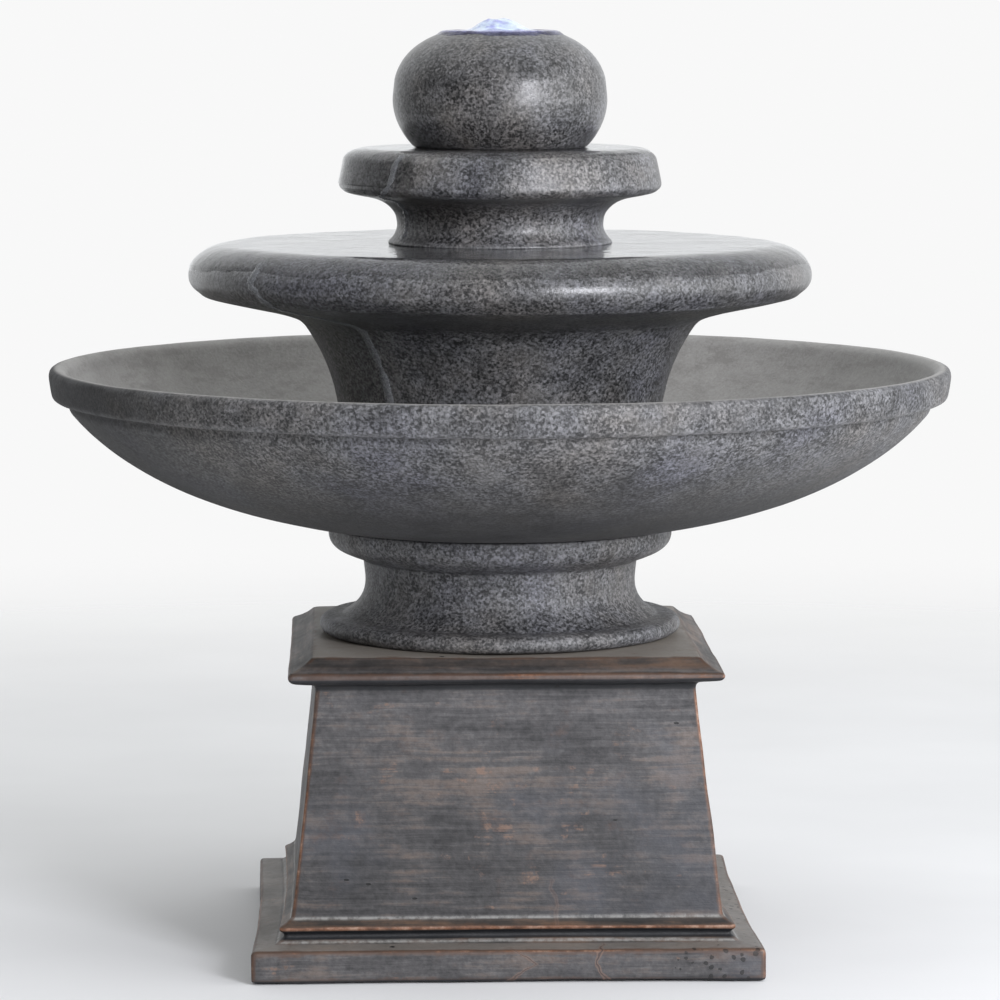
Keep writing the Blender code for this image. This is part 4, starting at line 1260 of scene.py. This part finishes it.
def ball_spring(finish):
    """Water welling up over the nozzle and filling the dish."""
    lens_top = top_of("light_lens") - BALL_SEAT + 0.3
    mound = ((0, 8.2), (3, 8.1), (6, 7.6), (9, 6.8), (12, 5.6), (15, 4.1), (18, 2.4), (21, 1.1))
    rim = ((24, 0.3, 0.8), (28, 0.1, 0.6), (32, 0.2, 0.4), (36, 0.3, 0.2), (40, 0.1, 0.1))
    shoulder = ((42, -0.9, 0.0), (36, -2.0, 0.0))
    line = [(reach, BALL_TOP + height, 1.0) for reach, height in mound]
    line += [(reach, BALL_TOP + height, lift) for reach, height, lift in rim + shoulder]
    under = ((35.3, 0), (11.2, 0), (11, 3.5), (0, 3.5))
    line += [(reach, lens_top + height, 0.0) for reach, height in under]

    def ripple(x, y):
        spot = Vector((x, y, 0))
        crest = math.exp(-((x + 9) ** 2 + (y + 4) ** 2) / 40)
        return 2.2 * crest + 1.3 * noise.noise(spot / 11) + 0.6 * noise.noise(spot / 5)

    return as_water(lathe_fill("ball_spring", line, BALL_SEAT, ripple, 96), "ball", finish)


def ball_film(finish):
    """Water slipping over the ball's shoulder from the dish, with a wandering shore."""
    rows = [row for row in outer_rows(ball_line(), 55, BALL_TOP, 36) if row[0] < 57]

    def depth_at(along, angle, point):
        shore = 48.5 + 4 * noise.noise(compass(angle) * 4.1)
        return 0.9 * (1 - ramp_up(math.hypot(point.x, point.y), shore - 9, shore)) - 0.25

    return as_water(film("ball_film", rows, BALL_SEAT, STRAY["ball"], depth_at), "ball", finish)


# Carried-over CAD pieces.


def dress(names, finish):
    """Gives CAD nodes their finished material."""
    for name in names:
        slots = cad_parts[name].material_slots
        for slot in slots:
            slot.material = finish


def dress_nodes():
    """Pump, light, hose and small rubber parts."""

    def numbered(stem, count):
        return [f"{stem}_{i}" for i in range(1, count + 1)]

    rubber = moulded("rubber_finish", (0.018, 0.018, 0.018), 0.72)
    black = moulded("black_plastic_finish", (0.022, 0.022, 0.025), 0.38)
    grey = moulded("grey_plastic_finish", (0.17, 0.17, 0.18), 0.42)
    ferrite = moulded("ferrite_finish", (0.05, 0.05, 0.055), 0.5, metallic=0.6)
    sheath = moulded("sheath_finish", (0.016, 0.016, 0.018), 0.5, grain=0.2)
    dress(numbered("plinth_pad", 4) + numbered("suction_cup", 4), rubber)
    dress(["cord_grommet", "drain_plug", "pump_cord_gland", "shaft_bush_front", "shaft_bush_rear"], rubber)
    dress(["pump_housing", "pump_cover", "outlet_barb", "pump_strainer", "light_plug"], black)
    dress(numbered("lead_tie", 3), black)
    dress(["impeller", "flow_knob", "light_tray", "nozzle"], grey)
    dress(["rotor_magnet"], ferrite)
    dress(["light_lead"], sheath)
    dress(["rotor_shaft"], steel("steel_finish"))
    dress(["foam_filter"], foam("foam_finish"))
    dress(["riser_hose"], clear("vinyl_finish", (0.85, 0.88, 0.9), 0.12))
    dress(["light_lens"], clear("lens_finish", (0.92, 0.95, 1.0), 0.08))
    dress(["light_board"], circuit_board("board_finish"))
    dress(numbered("light_diode", 6), diode("diode_finish"))


# Camera, floor and lights.


def make_camera():
    """Camera at the height of the tiers, looking down a little and from slightly left."""
    turn = math.radians(2)
    distance, height = 3.335, 0.686
    dip = math.radians(6.37364)
    data = bpy.data.cameras.new("camera")
    data.lens = 169.2
    data.sensor_width = 36
    camera = bpy.data.objects.new("camera", data)
    camera.location = (-distance * math.sin(turn), -distance * math.cos(turn), height)
    camera.rotation_euler = (math.radians(90) - dip, 0, -turn)
    bpy.context.collection.objects.link(camera)
    bpy.context.scene.camera = camera


def make_floor():
    """Plain pale floor that fades out well away from the object."""
    mesh = bmesh.new()
    bmesh.ops.create_circle(mesh, cap_ends=True, segments=96, radius=2400)
    floor = to_object("floor", mesh)
    r = Recipe("floor_finish")
    tone = r.ramp(r.noise(3, 3, 0.5), [(0.3, (0.78, 0.78, 0.78)), (0.7, (0.84, 0.84, 0.84))])
    r.finish(tone, 0.9)
    away = r.node("ShaderNodeVectorMath", operation="LENGTH")
    r.feed(away.inputs[0], r.place)
    r.feed(r.shader.inputs["Alpha"], r.band(away.outputs["Value"], 2.3, 0.9))
    floor.data.materials.append(r.material)


def make_world():
    """Pale surroundings, brighter behind and beside the object than in front of it."""
    world = bpy.data.worlds.new("studio")
    bpy.context.scene.world = world
    world.use_nodes = True
    tree = world.node_tree
    light = tree.nodes["Background"]
    ways = tree.nodes.new("ShaderNodeTexCoord")
    towards = tree.nodes.new("ShaderNodeVectorMath")
    towards.operation = "DOT_PRODUCT"
    towards.inputs[1].default_value = Vector((0.7, 0.62, 0.48)).normalized()
    tree.links.new(ways.outputs["Generated"], towards.inputs[0])
    shade = tree.nodes.new("ShaderNodeMapRange")
    shade.interpolation_type = "SMOOTHSTEP"
    tree.links.new(towards.outputs["Value"], shade.inputs["Value"])
    for name, value in (("From Min", -0.95), ("From Max", 0.4), ("To Min", 0.12), ("To Max", 1.0)):
        shade.inputs[name].default_value = value
    light.inputs["Color"].default_value = (0.97, 0.985, 1.0, 1)
    tree.links.new(shade.outputs["Result"], light.inputs["Strength"])
    plain = tree.nodes.new("ShaderNodeBackground")
    plain.inputs["Color"].default_value = (0.94, 0.94, 0.94, 1)
    seen = tree.nodes.new("ShaderNodeLightPath")
    choose = tree.nodes.new("ShaderNodeMixShader")
    tree.links.new(seen.outputs["Is Camera Ray"], choose.inputs[0])
    tree.links.new(light.outputs[0], choose.inputs[1])
    tree.links.new(plain.outputs[0], choose.inputs[2])
    tree.links.new(choose.outputs[0], tree.nodes["World Output"].inputs["Surface"])


def softbox(name, place, target, size, power, colour=(1, 1, 1)):
    """Area light aimed at a point."""
    data = bpy.data.lights.new(name, "AREA")
    data.shape = "RECTANGLE"
    data.size, data.size_y = size
    data.energy = power
    data.color = colour
    lamp = bpy.data.objects.new(name, data)
    lamp.location = place
    lamp.visible_camera = False
    lamp.rotation_mode = "QUATERNION"
    lamp.rotation_quaternion = (Vector(target) - Vector(place)).to_track_quat("-Z", "Y")
    bpy.context.collection.objects.link(lamp)


def make_lights():
    middle = (0, 0, 0.4)
    softbox("window", (0.95, -1.75, 0.85), middle, (0.55, 0.8), 34, (0.93, 0.94, 1.0))
    softbox("right_softbox", (2.6, -1.1, 1.0), middle, (2.2, 2.0), 26, (0.97, 0.98, 1.0))


make_camera()
make_floor()
make_world()
make_lights()
bpy.context.scene.view_settings.view_transform = "Standard"

cast_plinth(slate_paint("plinth_finish"))
stone = granite("granite_finish")
cast_foot(stone)
cast_basin(stone)
cast_middle(stone)
# The upper tier's granite is painted lighter than the rest, standing in for the stronger light on it.
cast_upper(granite("lit_granite_finish", 1.24))
cast_ball(stone)
clear_water = water("water_finish")
middle_film(clear_water)
cap_film(clear_water)
# The runs' pale grey colour and partial clearness paint their glints as milky white.
runs(water("run_finish", (0.72, 0.74, 0.77), 0.06, 0.84))
basin_pool(water("pool_finish", (0.93, 0.98, 0.97)))
spring_water = lit_water("spring_finish")
ball_spring(spring_water)
ball_film(spring_water)
dress_nodes()
